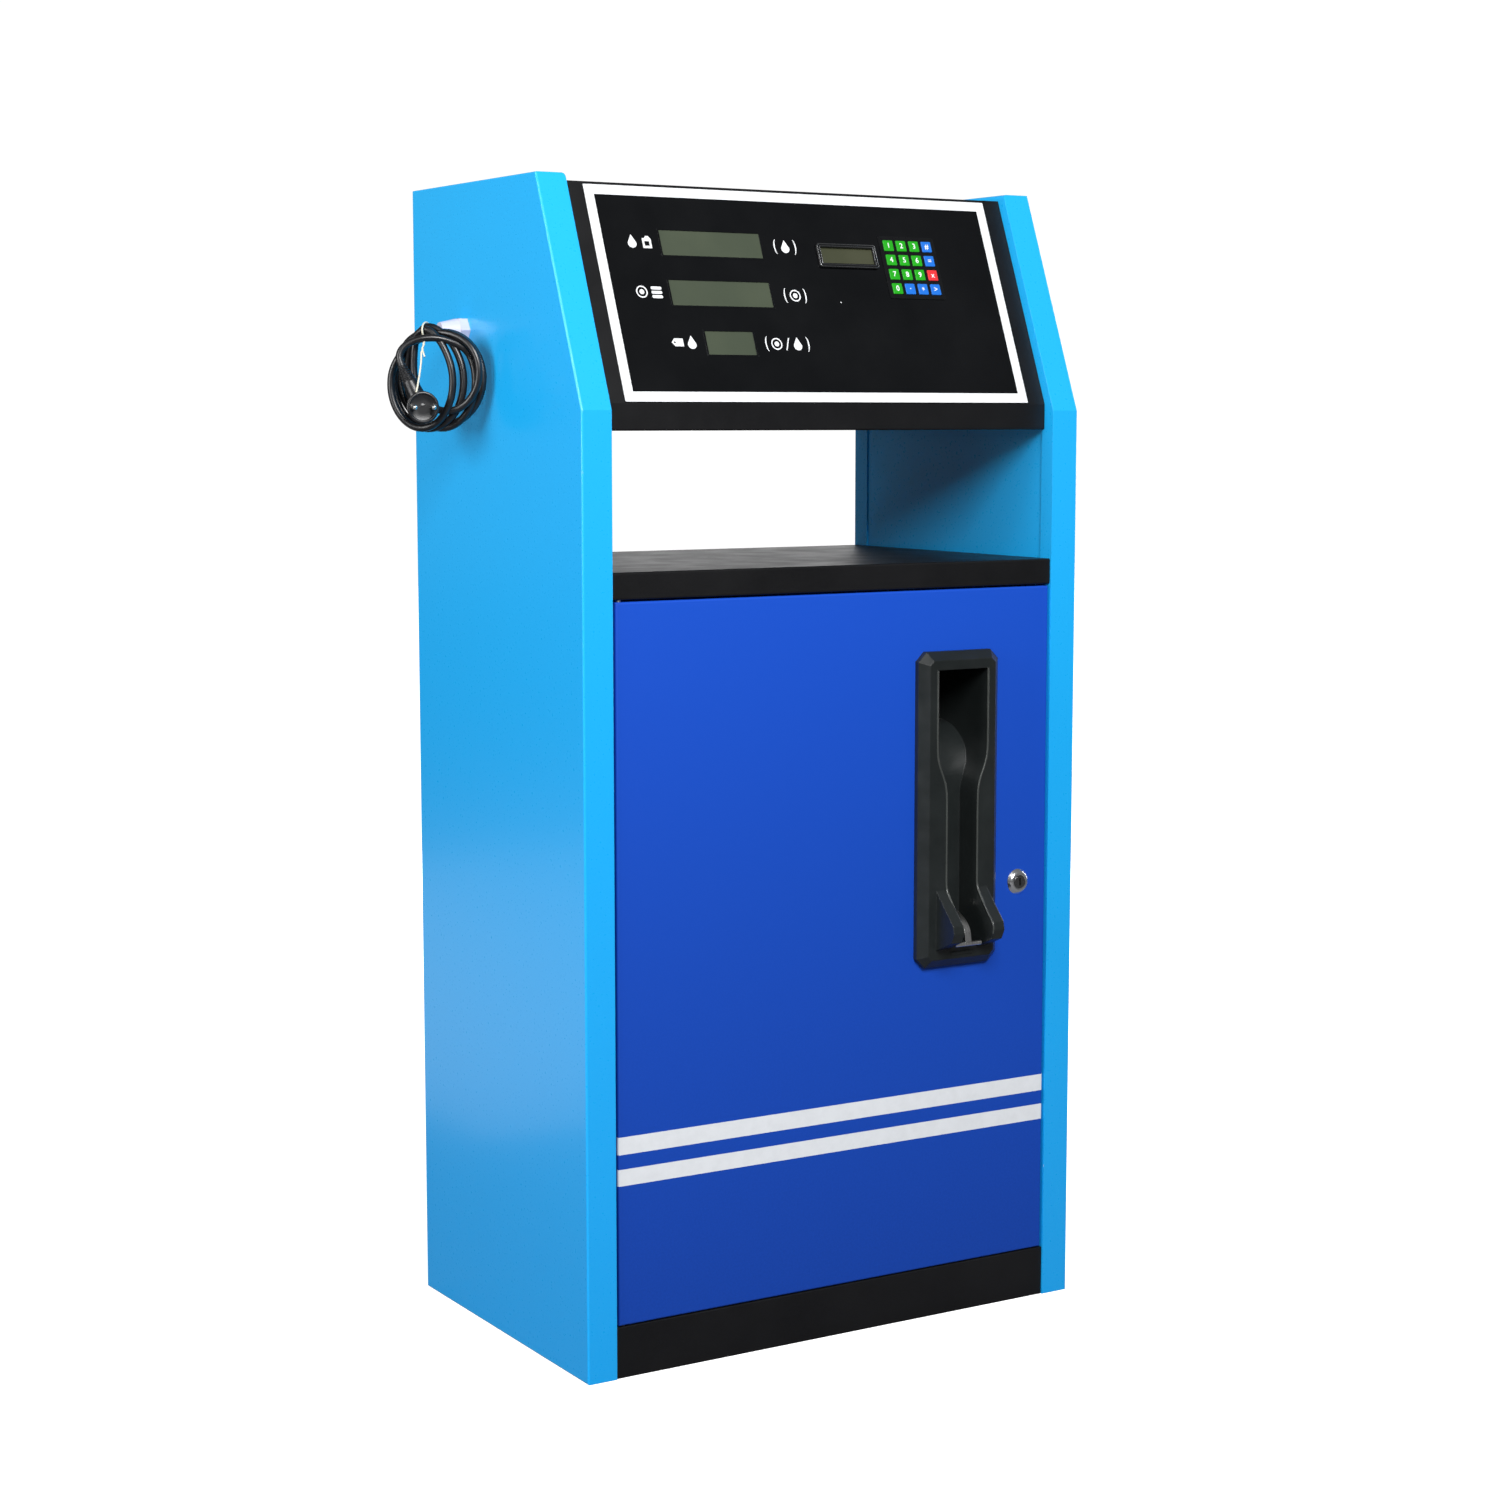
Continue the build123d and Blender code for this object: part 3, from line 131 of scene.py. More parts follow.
# Where each turn passes through the tie, in mm: across, up and depth.
TIE_SEATS = [(-13.5, 50.0, -6.0), (-12.5, 43.5, -8.0), (-13.0, 51.0, 2.0), (-12.5, 43.5, -0.5),
             (-13.0, 48.0, 9.0)]
TIE_ANGLE = 108.0       # where the tie sits on each turn, in degrees
TIE_REACH = 36.0        # how far the tie's pull spreads along a turn, in degrees
TIE_LIMIT = 120.0       # past this many degrees the pull is left out
STEP = 30.0             # degrees from one point of the coil to the next
FIRST_STEPS = 1.8       # steps left out where the lead comes in from the gland
LAST_STEPS = 1.7        # steps left out where the tail leaves for the plug
# The tail that leaves the last turn and enters the plug's grip, in mm: across, up and out.
CORD_TAIL = [(10.0, 38.5, 9.0), (-5.0, 39.0, 15.5), (-18.0, 35.5, 20.5), (-27.0, 28.5, 24.3),
             (-30.0, 20.0, 26.3), (-27.1, 12.0, 27.0), (-24.6, 7.2, 27.0)]


def coil_point(across, up, out):
    """A point of the coil's own frame, given in millimetres."""
    return COIL_MIDDLE + COIL_ACROSS * across * MM + UP * up * MM + COIL_OUT * out * MM


def turn_point(turn, angle):
    """A point on one turn's ellipse, in the coil's own frame."""
    across, up, half_across, half_up, depth = TURNS[turn]
    t = math.radians(angle)
    return Vector((across + half_across * math.cos(t), up + half_up * math.sin(t), depth))


def coil_points():
    """The coil's turns, by a loop: pulled together at the tie, spread and uneven elsewhere."""
    points = []
    angle = TIE_ANGLE + FIRST_STEPS * STEP
    last = TIE_ANGLE + 360.0 * len(TURNS) - LAST_STEPS * STEP
    while angle <= last:
        turn = int((angle - TIE_ANGLE) / 360.0)
        since = (angle - TIE_ANGLE) % 360.0
        point = turn_point(turn, angle)
        for seat, distance in ((turn, since), (turn + 1, 360.0 - since)):
            if seat < len(TIE_SEATS) and distance < TIE_LIMIT:
                pull = math.exp(-(distance / TIE_REACH) ** 2)
                point += (Vector(TIE_SEATS[seat]) - turn_point(turn, TIE_ANGLE)) * pull
        points.append(coil_point(*point))
        angle += STEP
    return points


def make_cord():
    """The lead from the gland, round the coil and into the plug's grip."""
    points = [Vector(point) for point in CORD_ROUTE] + coil_points() + [coil_point(*at) for at in CORD_TAIL]
    curve = nurbs_tube("mains_lead", points, CORD_DIAMETER / 2, 3, 6, 10)
    return link(bpy.data.objects.new("mains_lead", curve))


cord = make_cord()


# ------------------------------------------------------------------ materials
class Nodes:
    """A short way to write a node material: every call adds a node and returns its output."""

    def __init__(self, name):
        self.material = bpy.data.materials.new(name)
        self.material.use_nodes = True
        self.tree = self.material.node_tree
        self.shader = self.tree.nodes["Principled BSDF"]
        self.place = self.tree.nodes.new("ShaderNodeTexCoord").outputs["Object"]

    def link(self, source, target):
        self.tree.links.new(source, target)

    def set(self, **values):
        """Sets the shader's own sockets, with _ for a space in a socket's name."""
        for key, value in values.items():
            self.shader.inputs[key.replace("_", " ")].default_value = value
        return self

    def scaled(self, x, y, z):
        mapping = self.tree.nodes.new("ShaderNodeMapping")
        mapping.inputs["Scale"].default_value = (x, y, z)
        self.link(self.place, mapping.inputs["Vector"])
        return mapping.outputs["Vector"]

    def noise(self, scale, detail=2.0, rough=0.5, vector=None):
        node = self.tree.nodes.new("ShaderNodeTexNoise")
        node.inputs["Scale"].default_value = scale
        node.inputs["Detail"].default_value = detail
        node.inputs["Roughness"].default_value = rough
        self.link(vector or self.place, node.inputs["Vector"])
        return node.outputs["Fac"]

    def cells(self, scale):
        node = self.tree.nodes.new("ShaderNodeTexVoronoi")
        node.inputs["Scale"].default_value = scale
        self.link(self.place, node.inputs["Vector"])
        return node.outputs["Distance"]

    def axis(self, name):
        node = self.tree.nodes.new("ShaderNodeSeparateXYZ")
        self.link(self.place, node.inputs["Vector"])
        return node.outputs[name]

    def fit(self, value, low, high, to_low=0.0, to_high=1.0):
        node = self.tree.nodes.new("ShaderNodeMapRange")
        node.inputs["From Min"].default_value = low
        node.inputs["From Max"].default_value = high
        node.inputs["To Min"].default_value = to_low
        node.inputs["To Max"].default_value = to_high
        self.link(value, node.inputs["Value"])
        return node.outputs["Result"]

    def mix(self, factor, first, second):
        """A colour between two colours. Each may be a tuple or an output."""
        node = self.tree.nodes.new("ShaderNodeMix")
        node.data_type = "RGBA"
        self.link(factor, node.inputs["Factor"])
        for value, socket in ((first, node.inputs["A"]), (second, node.inputs["B"])):
            if isinstance(value, tuple):
                socket.default_value = (*value, 1.0)
            else:
                self.link(value, socket)
        return node.outputs["Result"]

    def edges(self, width):
        """The surface's normal, rounded over sharp edges."""
        bevel = self.tree.nodes.new("ShaderNodeBevel")
        bevel.samples = 4
        bevel.inputs["Radius"].default_value = width
        return bevel.outputs["Normal"]

    def rim(self, width):
        """Near one along sharp edges and near nought elsewhere, for chips and rub marks."""
        bevel = self.edges(width)
        plain = self.tree.nodes.new("ShaderNodeNewGeometry").outputs["Normal"]
        dot = self.tree.nodes.new("ShaderNodeVectorMath")
        dot.operation = "DOT_PRODUCT"
        self.link(bevel, dot.inputs[0])
        self.link(plain, dot.inputs[1])
        return self.fit(dot.outputs["Value"], 0.995, 0.93)

    def times(self, first, second):
        """The product of two values."""
        node = self.tree.nodes.new("ShaderNodeMath")
        node.operation = "MULTIPLY"
        self.link(first, node.inputs[0])
        self.link(second, node.inputs[1])
        return node.outputs["Value"]

    def bump(self, height, distance, strength, normal=None):
        node = self.tree.nodes.new("ShaderNodeBump")
        node.inputs["Strength"].default_value = strength
        node.inputs["Distance"].default_value = distance
        self.link(height, node.inputs["Height"])
        if normal is not None:
            self.link(normal, node.inputs["Normal"])
        self.link(node.outputs["Normal"], self.shader.inputs["Normal"])

    def colour(self, output):
        self.link(output, self.shader.inputs["Base Color"])

    def rough(self, output):
        self.link(output, self.shader.inputs["Roughness"])


def powder_coat(name, high, low, painted_light_span, roughness=0.28, peel=0.00003, coat=0.35, chips=0.0,
                specular=0.5):
    """Smooth powder coat with painted light: lighter towards the top and darker below, for light falling from
    above, with fine orange peel and chipped edges.
    """
    n = Nodes(name).set(Coat_Weight=coat, Coat_Roughness=0.14, Specular_IOR_Level=specular)
    # Painted light: the colour runs from low at the foot of the span to high at its top, for the light
    # falling off downwards.
    height = n.fit(n.axis("Z"), *painted_light_span)
    tone = n.mix(height, low, high)
    shade = tuple(0.93 * channel for channel in high)
    tone = n.mix(n.fit(n.noise(420.0, 1.0, 0.5), 0.0, 1.0, 0.0, 0.5), tone, shade)
    if chips:
        spots = n.fit(n.noise(95.0, 3.0, 0.6), 0.66, 0.68)
        sparse = n.fit(n.noise(6.0, 1.0, 0.5), 0.60, 0.62)
        tone = n.mix(n.times(n.times(n.rim(0.0016), spots), sparse), tone, (chips, chips, chips))
    n.colour(tone)
    n.rough(n.fit(n.noise(300.0, 2.0, 0.5), 0.0, 1.0, roughness - 0.04, roughness + 0.06))
    n.bump(n.noise(520.0, 2.0, 0.45), peel, 0.35, n.edges(0.0009))
    return n.material


def textured_black(name, base, roughness, grain=1100.0, depth=0.00006, lighter=1.5):
    """Fine wrinkle-textured powder coat."""
    n = Nodes(name).set(Specular_IOR_Level=0.3)
    speck = n.cells(grain)
    light = tuple(channel * lighter + 0.003 for channel in base)
    patch = n.noise(6.0, 3.0, 0.5)
    n.colour(n.mix(n.fit(speck, 0.2, 0.75), light, n.mix(n.fit(patch, 0.35, 0.7), base, light)))
    n.rough(n.fit(n.noise(25.0, 4.0, 0.6), 0.3, 0.7, roughness - 0.05, roughness + 0.06))
    n.bump(speck, depth, 0.5, n.edges(0.0008))
    return n.material


def moulded_plastic(name, base, roughness, grain=1400.0, depth=0.00005, lighter=1.35, radius=0.0012,
                    uneven=0.06):
    """Injection-moulded plastic with a spark-eroded grain and a slight flow mottle."""
    n = Nodes(name).set(Specular_IOR_Level=0.5)
    mottle = n.noise(14.0, 4.0, 0.55)
    light = tuple(min(1.0, channel * lighter + 0.002) for channel in base)
    n.colour(n.mix(n.fit(mottle, 0.35, 0.7), base, light))
    n.rough(n.fit(n.noise(60.0, 3.0, 0.5), 0.3, 0.7, roughness - uneven, roughness + uneven))
    n.bump(n.noise(grain, 2.0, 0.5), depth, 0.6, n.edges(radius))
    return n.material


def metal(name, base, roughness, streak=(1.0, 1.0, 40.0), spread=0.12, dark=0.75, bump=0.00003):
    """Plated, brushed or cast metal, with streaks along one axis and darker patches."""
    n = Nodes(name).set(Metallic=1.0)
    grain = n.noise(55.0, 3.0, 0.6, n.scaled(*streak))
    patch = n.noise(11.0, 4.0, 0.6)
    shade = tuple(channel * dark for channel in base)
    n.colour(n.mix(n.fit(patch, 0.35, 0.7), base, shade))
    n.rough(n.fit(grain, 0.3, 0.7, max(0.03, roughness - spread / 2), roughness + spread / 2))
    n.bump(grain, bump, 0.5, n.edges(0.0006))
    return n.material


def printed(name, base, roughness):
    """Ink or film: nearly even, with a light mottle and a dusty sheen."""
    n = Nodes(name)
    wear = n.noise(70.0, 4.0, 0.6)
    shade = tuple(channel * 0.93 for channel in base)
    n.colour(n.mix(n.fit(wear, 0.4, 0.75), base, shade))
    n.rough(n.fit(wear, 0.3, 0.7, roughness - 0.05, roughness + 0.08))
    n.bump(n.noise(600.0, 2.0, 0.5), 0.00002, 0.4)
    return n.material


def display_glass(name, base, deep):
    """A passive LCD behind clear film: soft tone change, faint pixel rows, glossy front."""
    n = Nodes(name).set(Coat_Weight=0.8, Coat_Roughness=0.08, Specular_IOR_Level=0.4)
    drift = n.noise(14.0, 2.0, 0.5)
    rows = n.noise(900.0, 1.0, 0.5, n.scaled(1.0, 0.08, 0.08))
    n.colour(n.mix(n.fit(rows, 0.35, 0.65, 0.0, 0.25), n.mix(n.fit(drift, 0.3, 0.7), deep, base), deep))
    n.rough(n.fit(rows, 0.3, 0.7, 0.30, 0.42))
    n.bump(rows, 0.00001, 0.3)
    return n.material


def rubber(name, base, roughness):
    """Soft flexible sheath: bloom patches and a fine extrusion grain."""
    n = Nodes(name).set(Specular_IOR_Level=0.5)
    bloom = n.noise(45.0, 4.0, 0.6)
    light = tuple(channel * 1.8 + 0.004 for channel in base)
    n.colour(n.mix(n.fit(bloom, 0.35, 0.75), base, light))
    n.rough(n.fit(bloom, 0.3, 0.7, roughness - 0.06, roughness + 0.10))
    n.bump(n.noise(800.0, 2.0, 0.5), 0.00004, 0.5)
    return n.material


def srgb(code):
    """A hex colour as linear values."""
    values = [int(code[i:i + 2], 16) / 255 for i in (0, 2, 4)]
    return tuple(v / 12.92 if v <= 0.04045 else ((v + 0.055) / 1.055) ** 2.4 for v in values)


# The cyan and royal paints are lighter at the top and darker at the foot: painted light, for the key light
# falling from above.
cyan = powder_coat("cyan_paint", srgb("1EB9FF"), srgb("12A8F8"), (0.1, 1.15), chips=0.55)
royal = powder_coat("royal_paint", srgb("1650C8"), srgb("103FA0"), (0.05, 0.78), roughness=0.42,
                    coat=0.0, specular=0.3)
black_metal = textured_black("black_texture", srgb("09090B"), 0.44)
fascia_black = moulded_plastic("fascia_gloss", srgb("030406"), 0.20, 300.0, 0.000004, 1.1, 0.0004, 0.008)
lcd = display_glass("lcd_glass", srgb("4B5342"), srgb("414A3B"))
preset_lcd = display_glass("preset_glass", srgb("484A37"), srgb("3E412E"))
bezel_grey = moulded_plastic("bezel_grey", srgb("0E0F10"), 0.24)
board_green = moulded_plastic("circuit_board", srgb("145C30"), 0.35)
key_film = printed("keypad_film", srgb("0A0B0D"), 0.28)
key_colours = {
    "key_green": printed("key_green", srgb("22A51A"), 0.33),
    "key_blue": printed("key_blue", srgb("1F72D8"), 0.33),
    "key_red": printed("key_red", srgb("E8343A"), 0.33),
}
boot_black = moulded_plastic("black_plastic", srgb("1A1E1E"), 0.34, 1100.0, 0.00005, 1.3, 0.0016)
hook_metal = metal("hook_steel", (0.78, 0.77, 0.75), 0.30, (30.0, 1.0, 1.0))
zinc = metal("zinc_steel", (0.60, 0.61, 0.62), 0.36)
switch_dark = moulded_plastic("switch_plastic", srgb("26262A"), 0.45)
chrome = metal("chrome_lock", (0.95, 0.96, 0.97), 0.20, (1.0, 40.0, 1.0), 0.04, 0.9, 0.000005)
# The motor's paint is a touch lighter at its top: painted light as well.
motor_blue = powder_coat("motor_paint", srgb("2C4A66"), srgb("28435C"), (0.0, 0.2), 0.4, 0.0001, 0.1)
iron = metal("cast_iron", (0.20, 0.20, 0.21), 0.6, (1.0, 1.0, 1.0), 0.15, 0.7, 0.0002)
belt_black = rubber("belt_rubber", srgb("161616"), 0.6)
cast_alloy = metal("cast_aluminium", (0.60, 0.61, 0.62), 0.5, (1.0, 1.0, 1.0), 0.15, 0.85, 0.00015)
brass = metal("brass_fitting", (0.72, 0.54, 0.24), 0.28, (1.0, 1.0, 1.0), 0.1, 0.85)
gland_white = moulded_plastic("gland_plastic", srgb("C6C5DA"), 0.42, 700.0, 0.00003, 1.0)
lead_black = rubber("cord_rubber", srgb("0E0E10"), 0.30)
tie_cream = printed("tie_paper", srgb("D9D3BE"), 0.5)
white_ink = printed("white_ink", srgb("F4F6F8"), 0.38)
stripe_white = printed("stripe_white", srgb("E9ECF0"), 0.42)
pin_metal = metal("pin_metal", (0.86, 0.85, 0.80), 0.24)
# The lip's plastic is lighter than the boot's: painted highlight along the cavity's rounded edge.
lip_highlight = moulded_plastic("lip_painted_highlight", srgb("3A3D3B"), 0.22, 900.0, 0.00002, 1.3, 0.0005)
plug_black = moulded_plastic("plug_plastic", srgb("101012"), 0.34, 900.0, 0.00005, 1.4, 0.0008)
rotor_metal = metal("rotor_metal", (0.30, 0.30, 0.30), 0.25, (1.0, 40.0, 1.0), 0.1, 0.6)
# Silver for the preset bezel's painted highlights: bright lines where its raised edges catch the light.
highlight_silver = metal("highlight_silver", (0.42, 0.43, 0.44), 0.30, (1.0, 1.0, 1.0), 0.1, 0.6)

SLOT_MATERIALS = {
    "cyan_paint": cyan, "royal_paint": royal, "black_texture": black_metal, "fascia_gloss": fascia_black,
    "lcd_glass": lcd, "bezel_grey": bezel_grey, "circuit_board": board_green,
    "keypad_film": key_film, "black_plastic": boot_black, "hook_steel": hook_metal,
    "zinc_steel": zinc, "switch_plastic": switch_dark,
    "chrome_lock": chrome, "motor_paint": motor_blue, "cast_iron": iron, "belt_rubber": belt_black,
    "cast_aluminium": cast_alloy, "brass_fitting": brass, "gland_plastic": gland_white,
    "cord_rubber": lead_black, "tie_paper": tie_cream, **key_colours,
}
NODE_SLOTS = {part["node"]: part["material_slot"] for part in frame["record"]["subparts"]}

for node, slot in NODE_SLOTS.items():
    obj = frame["nodes"][node]
    obj.data.materials.clear()
    obj.data.materials.append(SLOT_MATERIALS[slot])
frame["nodes"]["preset_lcd"].data.materials[0] = preset_lcd
cord.data.materials.append(lead_black)


# ------------------------------------------------------------------ flat print on the fascia
LEAN = math.atan2(93.0, 232.0)      # the face leans back this far, from its depth over its height
FACE_ACROSS = Vector((1.0, 0.0, 0.0))
FACE_UP = Vector((0.0, math.sin(LEAN), math.cos(LEAN)))
FACE_OUT = Vector((0.0, -math.cos(LEAN), math.sin(LEAN)))
FACE_FOOT = Vector((0.0, -0.190 + 0.011 * math.cos(LEAN), 0.968 - 0.011 * math.sin(LEAN)))
FASCIA = 1.0        # the fascia's front, in mm from the face
PRINT = 0.12        # thickness of the print


def face_matrix(x, s, out):
    """A frame on the leaning face: x across, s up the slope, out towards the user, in mm."""
    origin = FACE_FOOT + FACE_ACROSS * x * MM + FACE_UP * s * MM + FACE_OUT * out * MM
    return Matrix.LocRotScale(origin, Matrix((FACE_ACROSS, FACE_UP, FACE_OUT)).transposed(), None)


def round_box(left, low, right, high, radius, steps=6):
    """A rounded rectangle as a closed loop of points."""
    loop = []
    for cx, cy, start in ((right - radius, high - radius, 0), (left + radius, high - radius, 90),
                          (left + radius, low + radius, 180), (right - radius, low + radius, 270)):
        for i in range(steps + 1):
            angle = math.radians(start + 90.0 * i / steps)
            loop.append((cx + radius * math.cos(angle), cy + radius * math.sin(angle)))
    return loop


def ring(cx, cy, radius, steps=32):
    """A closed circle of points."""
    turns = [2 * math.pi * i / steps for i in range(steps)]
    return [(cx + radius * math.cos(t), cy + radius * math.sin(t)) for t in turns]


def flat_print(name, loops, matrix, material, thick=PRINT):
    """A thin raised film on the case, cut to closed loops in mm. A loop inside another is a hole."""
    curve = bpy.data.curves.new(name + "_outline", "CURVE")
    curve.dimensions = "2D"
    curve.fill_mode = "BOTH"
    curve.extrude = thick * MM / 2
    for loop in loops:
        spline = curve.splines.new("POLY")
        spline.points.add(len(loop) - 1)
        for target, (x, y) in zip(spline.points, loop):
            target.co = (x * MM, y * MM, 0.0, 1.0)
        spline.use_cyclic_u = True
    return curve_to_piece(name, curve, matrix, material, "root")


def curve_to_piece(name, curve, matrix, material, body):
    """Turns a filled curve or text into a mesh piece at the given frame."""
    source = link(bpy.data.objects.new(name + "_source", curve))
    bpy.context.view_layer.update()
    evaluated = source.evaluated_get(bpy.context.evaluated_depsgraph_get())
    mesh = bpy.data.meshes.new_from_object(evaluated)
    bpy.data.objects.remove(source)
    mesh.transform(matrix)
    mesh.materials.clear()
    mesh.materials.append(material)
    piece = link(bpy.data.objects.new(name, mesh))
    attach(piece, body)
    return piece


def drop_icon(cx, cy, size):
    """A liquid drop: round below, pointed above."""
    loop = []
    for i in range(24):
        t = math.radians(-200 + 220 * i / 23)
        loop.append((cx + size * 0.36 * math.cos(t), cy - size * 0.16 + size * 0.34 * math.sin(t)))
    loop.append((cx, cy + size * 0.56))
    return [loop]


def can_icon(cx, cy, size):
    """A fuel can with a spout and a window."""
    h = size / 2
    body = [(cx - h * 0.75, cy - h), (cx + h * 0.75, cy - h), (cx + h * 0.75, cy + h * 0.45),
            (cx + h * 0.35, cy + h * 0.95), (cx - h * 0.1, cy + h * 0.95), (cx - h * 0.35, cy + h * 0.6),
            (cx - h * 0.75, cy + h * 0.6)]
    return [body, round_box(cx - h * 0.42, cy - h * 0.62, cx + h * 0.42, cy + h * 0.12, h * 0.12)]


def coin_icon(cx, cy, size):
    """A coin: a rim and a disc."""
    return [ring(cx, cy, size * 0.48), ring(cx, cy, size * 0.38), ring(cx, cy, size * 0.20)]


def stack_icon(cx, cy, size):
    """A stack of three coins seen from the side."""
    return [round_box(cx - size * 0.45, cy - size * 0.48 + i * size * 0.34, cx + size * 0.45,
                      cy - size * 0.24 + i * size * 0.34, size * 0.11) for i in range(3)]


def tag_icon(cx, cy, size):
    """A price tag with its eyelet."""
    h = size / 2
    body = [(cx - h, cy), (cx - h * 0.45, cy + h * 0.62), (cx + h, cy + h * 0.62),
            (cx + h, cy - h * 0.62), (cx - h * 0.45, cy - h * 0.62)]
    return [body, ring(cx - h * 0.45, cy, h * 0.17, steps=16)]


def bracket_icon(cx, cy, size, side):
    """A round bracket, thicker in its middle. It opens to the right when side is 1."""
    def arc(reach, rise, angles):
        return [(cx - side * size * reach * math.cos(math.radians(a)),
                 cy + size * rise * math.sin(math.radians(a))) for a in angles]

    return [arc(0.26, 0.62, range(-80, 81, 10)) + arc(0.15, 0.60, range(80, -81, -10))]


def left_bracket(cx, cy, size):
    return bracket_icon(cx, cy, size, 1)


def right_bracket(cx, cy, size):
    return bracket_icon(cx, cy, size, -1)


def slash_icon(cx, cy, size):
    """A slanted stroke."""
    w = size * 0.05
    return [[(cx - size * 0.18 - w, cy - size * 0.5), (cx - size * 0.18 + w, cy - size * 0.5),
             (cx + size * 0.18 + w, cy + size * 0.5), (cx + size * 0.18 - w, cy + size * 0.5)]]


BORDER = (-244.0, 13.0, 244.0, 244.0)      # left, low, right and high edge of the border line
BORDER_WIDE = 10.5
ICON = 13.5
ROWS = {"volume": 183.5, "amount": 129.5, "price": 76.0}        # each row's height on the face
# What is printed in each row, with its place across the face.
LABELS = [
    ("label_volume", "volume", [(drop_icon, -201.0), (can_icon, -184.0)]),
    ("unit_volume", "volume", [(left_bracket, -31.5), (drop_icon, -21.5), (right_bracket, -11.5)]),
    ("label_amount", "amount", [(coin_icon, -201.0), (stack_icon, -184.0)]),
    ("unit_amount", "amount", [(left_bracket, -31.5), (coin_icon, -21.5), (right_bracket, -11.5)]),
    ("label_price", "price", [(tag_icon, -172.0), (drop_icon, -155.5)]),
    ("unit_price", "price", [(left_bracket, -66.0), (coin_icon, -56.0), (slash_icon, -43.0),
                             (drop_icon, -31.0), (right_bracket, -20.5)]),
]
# Each display window: its row, its middle across, its width and its height.
WINDOWS = [("volume", -109.3, 119.0, 29.0), ("amount", -109.3, 119.0, 29.0), ("price", -110.2, 57.5, 27.0)]
LAMP = (33.0, 123.5, 0.7)       # the lamp's place and radius
# How far the dark frame of painted shade round each display window reaches outside and inside its edge, in
# mm.
SHADE_FRAME_OUT = 1.2
SHADE_FRAME_IN = 0.9


def frame_loops(left, low, right, high, wide, outer_radius, inner_radius):
    """The two loops of a rectangular line of even width, with its outer size given."""
    return [round_box(left, low, right, high, outer_radius),
            round_box(left + wide, low + wide, right - wide, high - wide, inner_radius)]


def print_face():
    """Everything that is printed on the fascia, and a dark frame of painted shade round each display window.
    """
    at = face_matrix(0.0, 0.0, FASCIA + PRINT / 2)
    flat_print("fascia_border", frame_loops(*BORDER, BORDER_WIDE, 1.0, 0.6), at, white_ink)
    for name, row, icons in LABELS:
        loops = [loop for icon, x in icons for loop in icon(x, ROWS[row], ICON)]
        flat_print(name, loops, at, white_ink)
    flat_print("lamp_dot", [ring(*LAMP, steps=20)], at, white_ink)
    # A dark frame just inside each window's rim: painted shade where the fascia shades the display behind it.
    for name, x, wide, tall in WINDOWS:
        half_wide, half_tall = wide / 2 + SHADE_FRAME_OUT, tall / 2 + SHADE_FRAME_OUT
        loops = frame_loops(x - half_wide, ROWS[name] - half_tall, x + half_wide, ROWS[name] + half_tall,
                            SHADE_FRAME_OUT + SHADE_FRAME_IN, 1.2, 0.5)
        flat_print("window_shade_" + name, loops, at, fascia_black)


print_face()


# ------------------------------------------------------------------ key legends
KEY_FACE = FASCIA + 0.8 + 0.9       # the keypad's frame and the keys stand this far out
KEY_MIDDLE = (131.5, 164.4)
KEY_PITCH = 16.2
LEGEND_SIZE = 8.2
LEGEND_BOLD = 0.14
LEGEND_HALF = 0.03                  # half the legend's thickness
KEY_SIGNS = {"point": ".", "price": "#", "total": "=", "clear": "x", "preset": "*", "enter": ">"}
SIGN_SHIFT = {"point": 2.2, "preset": -1.2}     # these signs sit low or high in their line
KEY_ROWS = [["1", "2", "3", "price"], ["4", "5", "6", "total"], ["7", "8", "9", "clear"],
            ["0", "point", "preset", "enter"]]


def key_legend(name, x, s):
    """A digit or a sign on a key. It rides on the key."""
    curve = bpy.data.curves.new("legend_outline_" + name, "FONT")
    curve.body = KEY_SIGNS.get(name, name)
    curve.size = LEGEND_SIZE * MM
    curve.align_x = "CENTER"
    curve.align_y = "CENTER"
    curve.offset = LEGEND_BOLD * MM
    curve.extrude = LEGEND_HALF * MM
    at = face_matrix(x, s + SIGN_SHIFT.get(name, 0.0), KEY_FACE + LEGEND_HALF)
    curve_to_piece("legend_" + name, curve, at, white_ink, "key_" + name + "_cap")


for row, names in enumerate(KEY_ROWS):
    for column, name in enumerate(names):
        key_legend(name, KEY_MIDDLE[0] + (column - 1.5) * KEY_PITCH, KEY_MIDDLE[1] + (1.5 - row) * KEY_PITCH)


# ------------------------------------------------------------------ stripes on the door
DOOR_LEFT, DOOR_RIGHT, DOOR_FRONT = -0.263, 0.265, -0.188
DOOR_BEND = 0.002       # the radius of the door's side edges
FILM = 0.00012
FILM_WRAP = 0.0035      # how far back the film reaches round an edge
BEND_STEPS = 6
FRONT_STEPS = 24


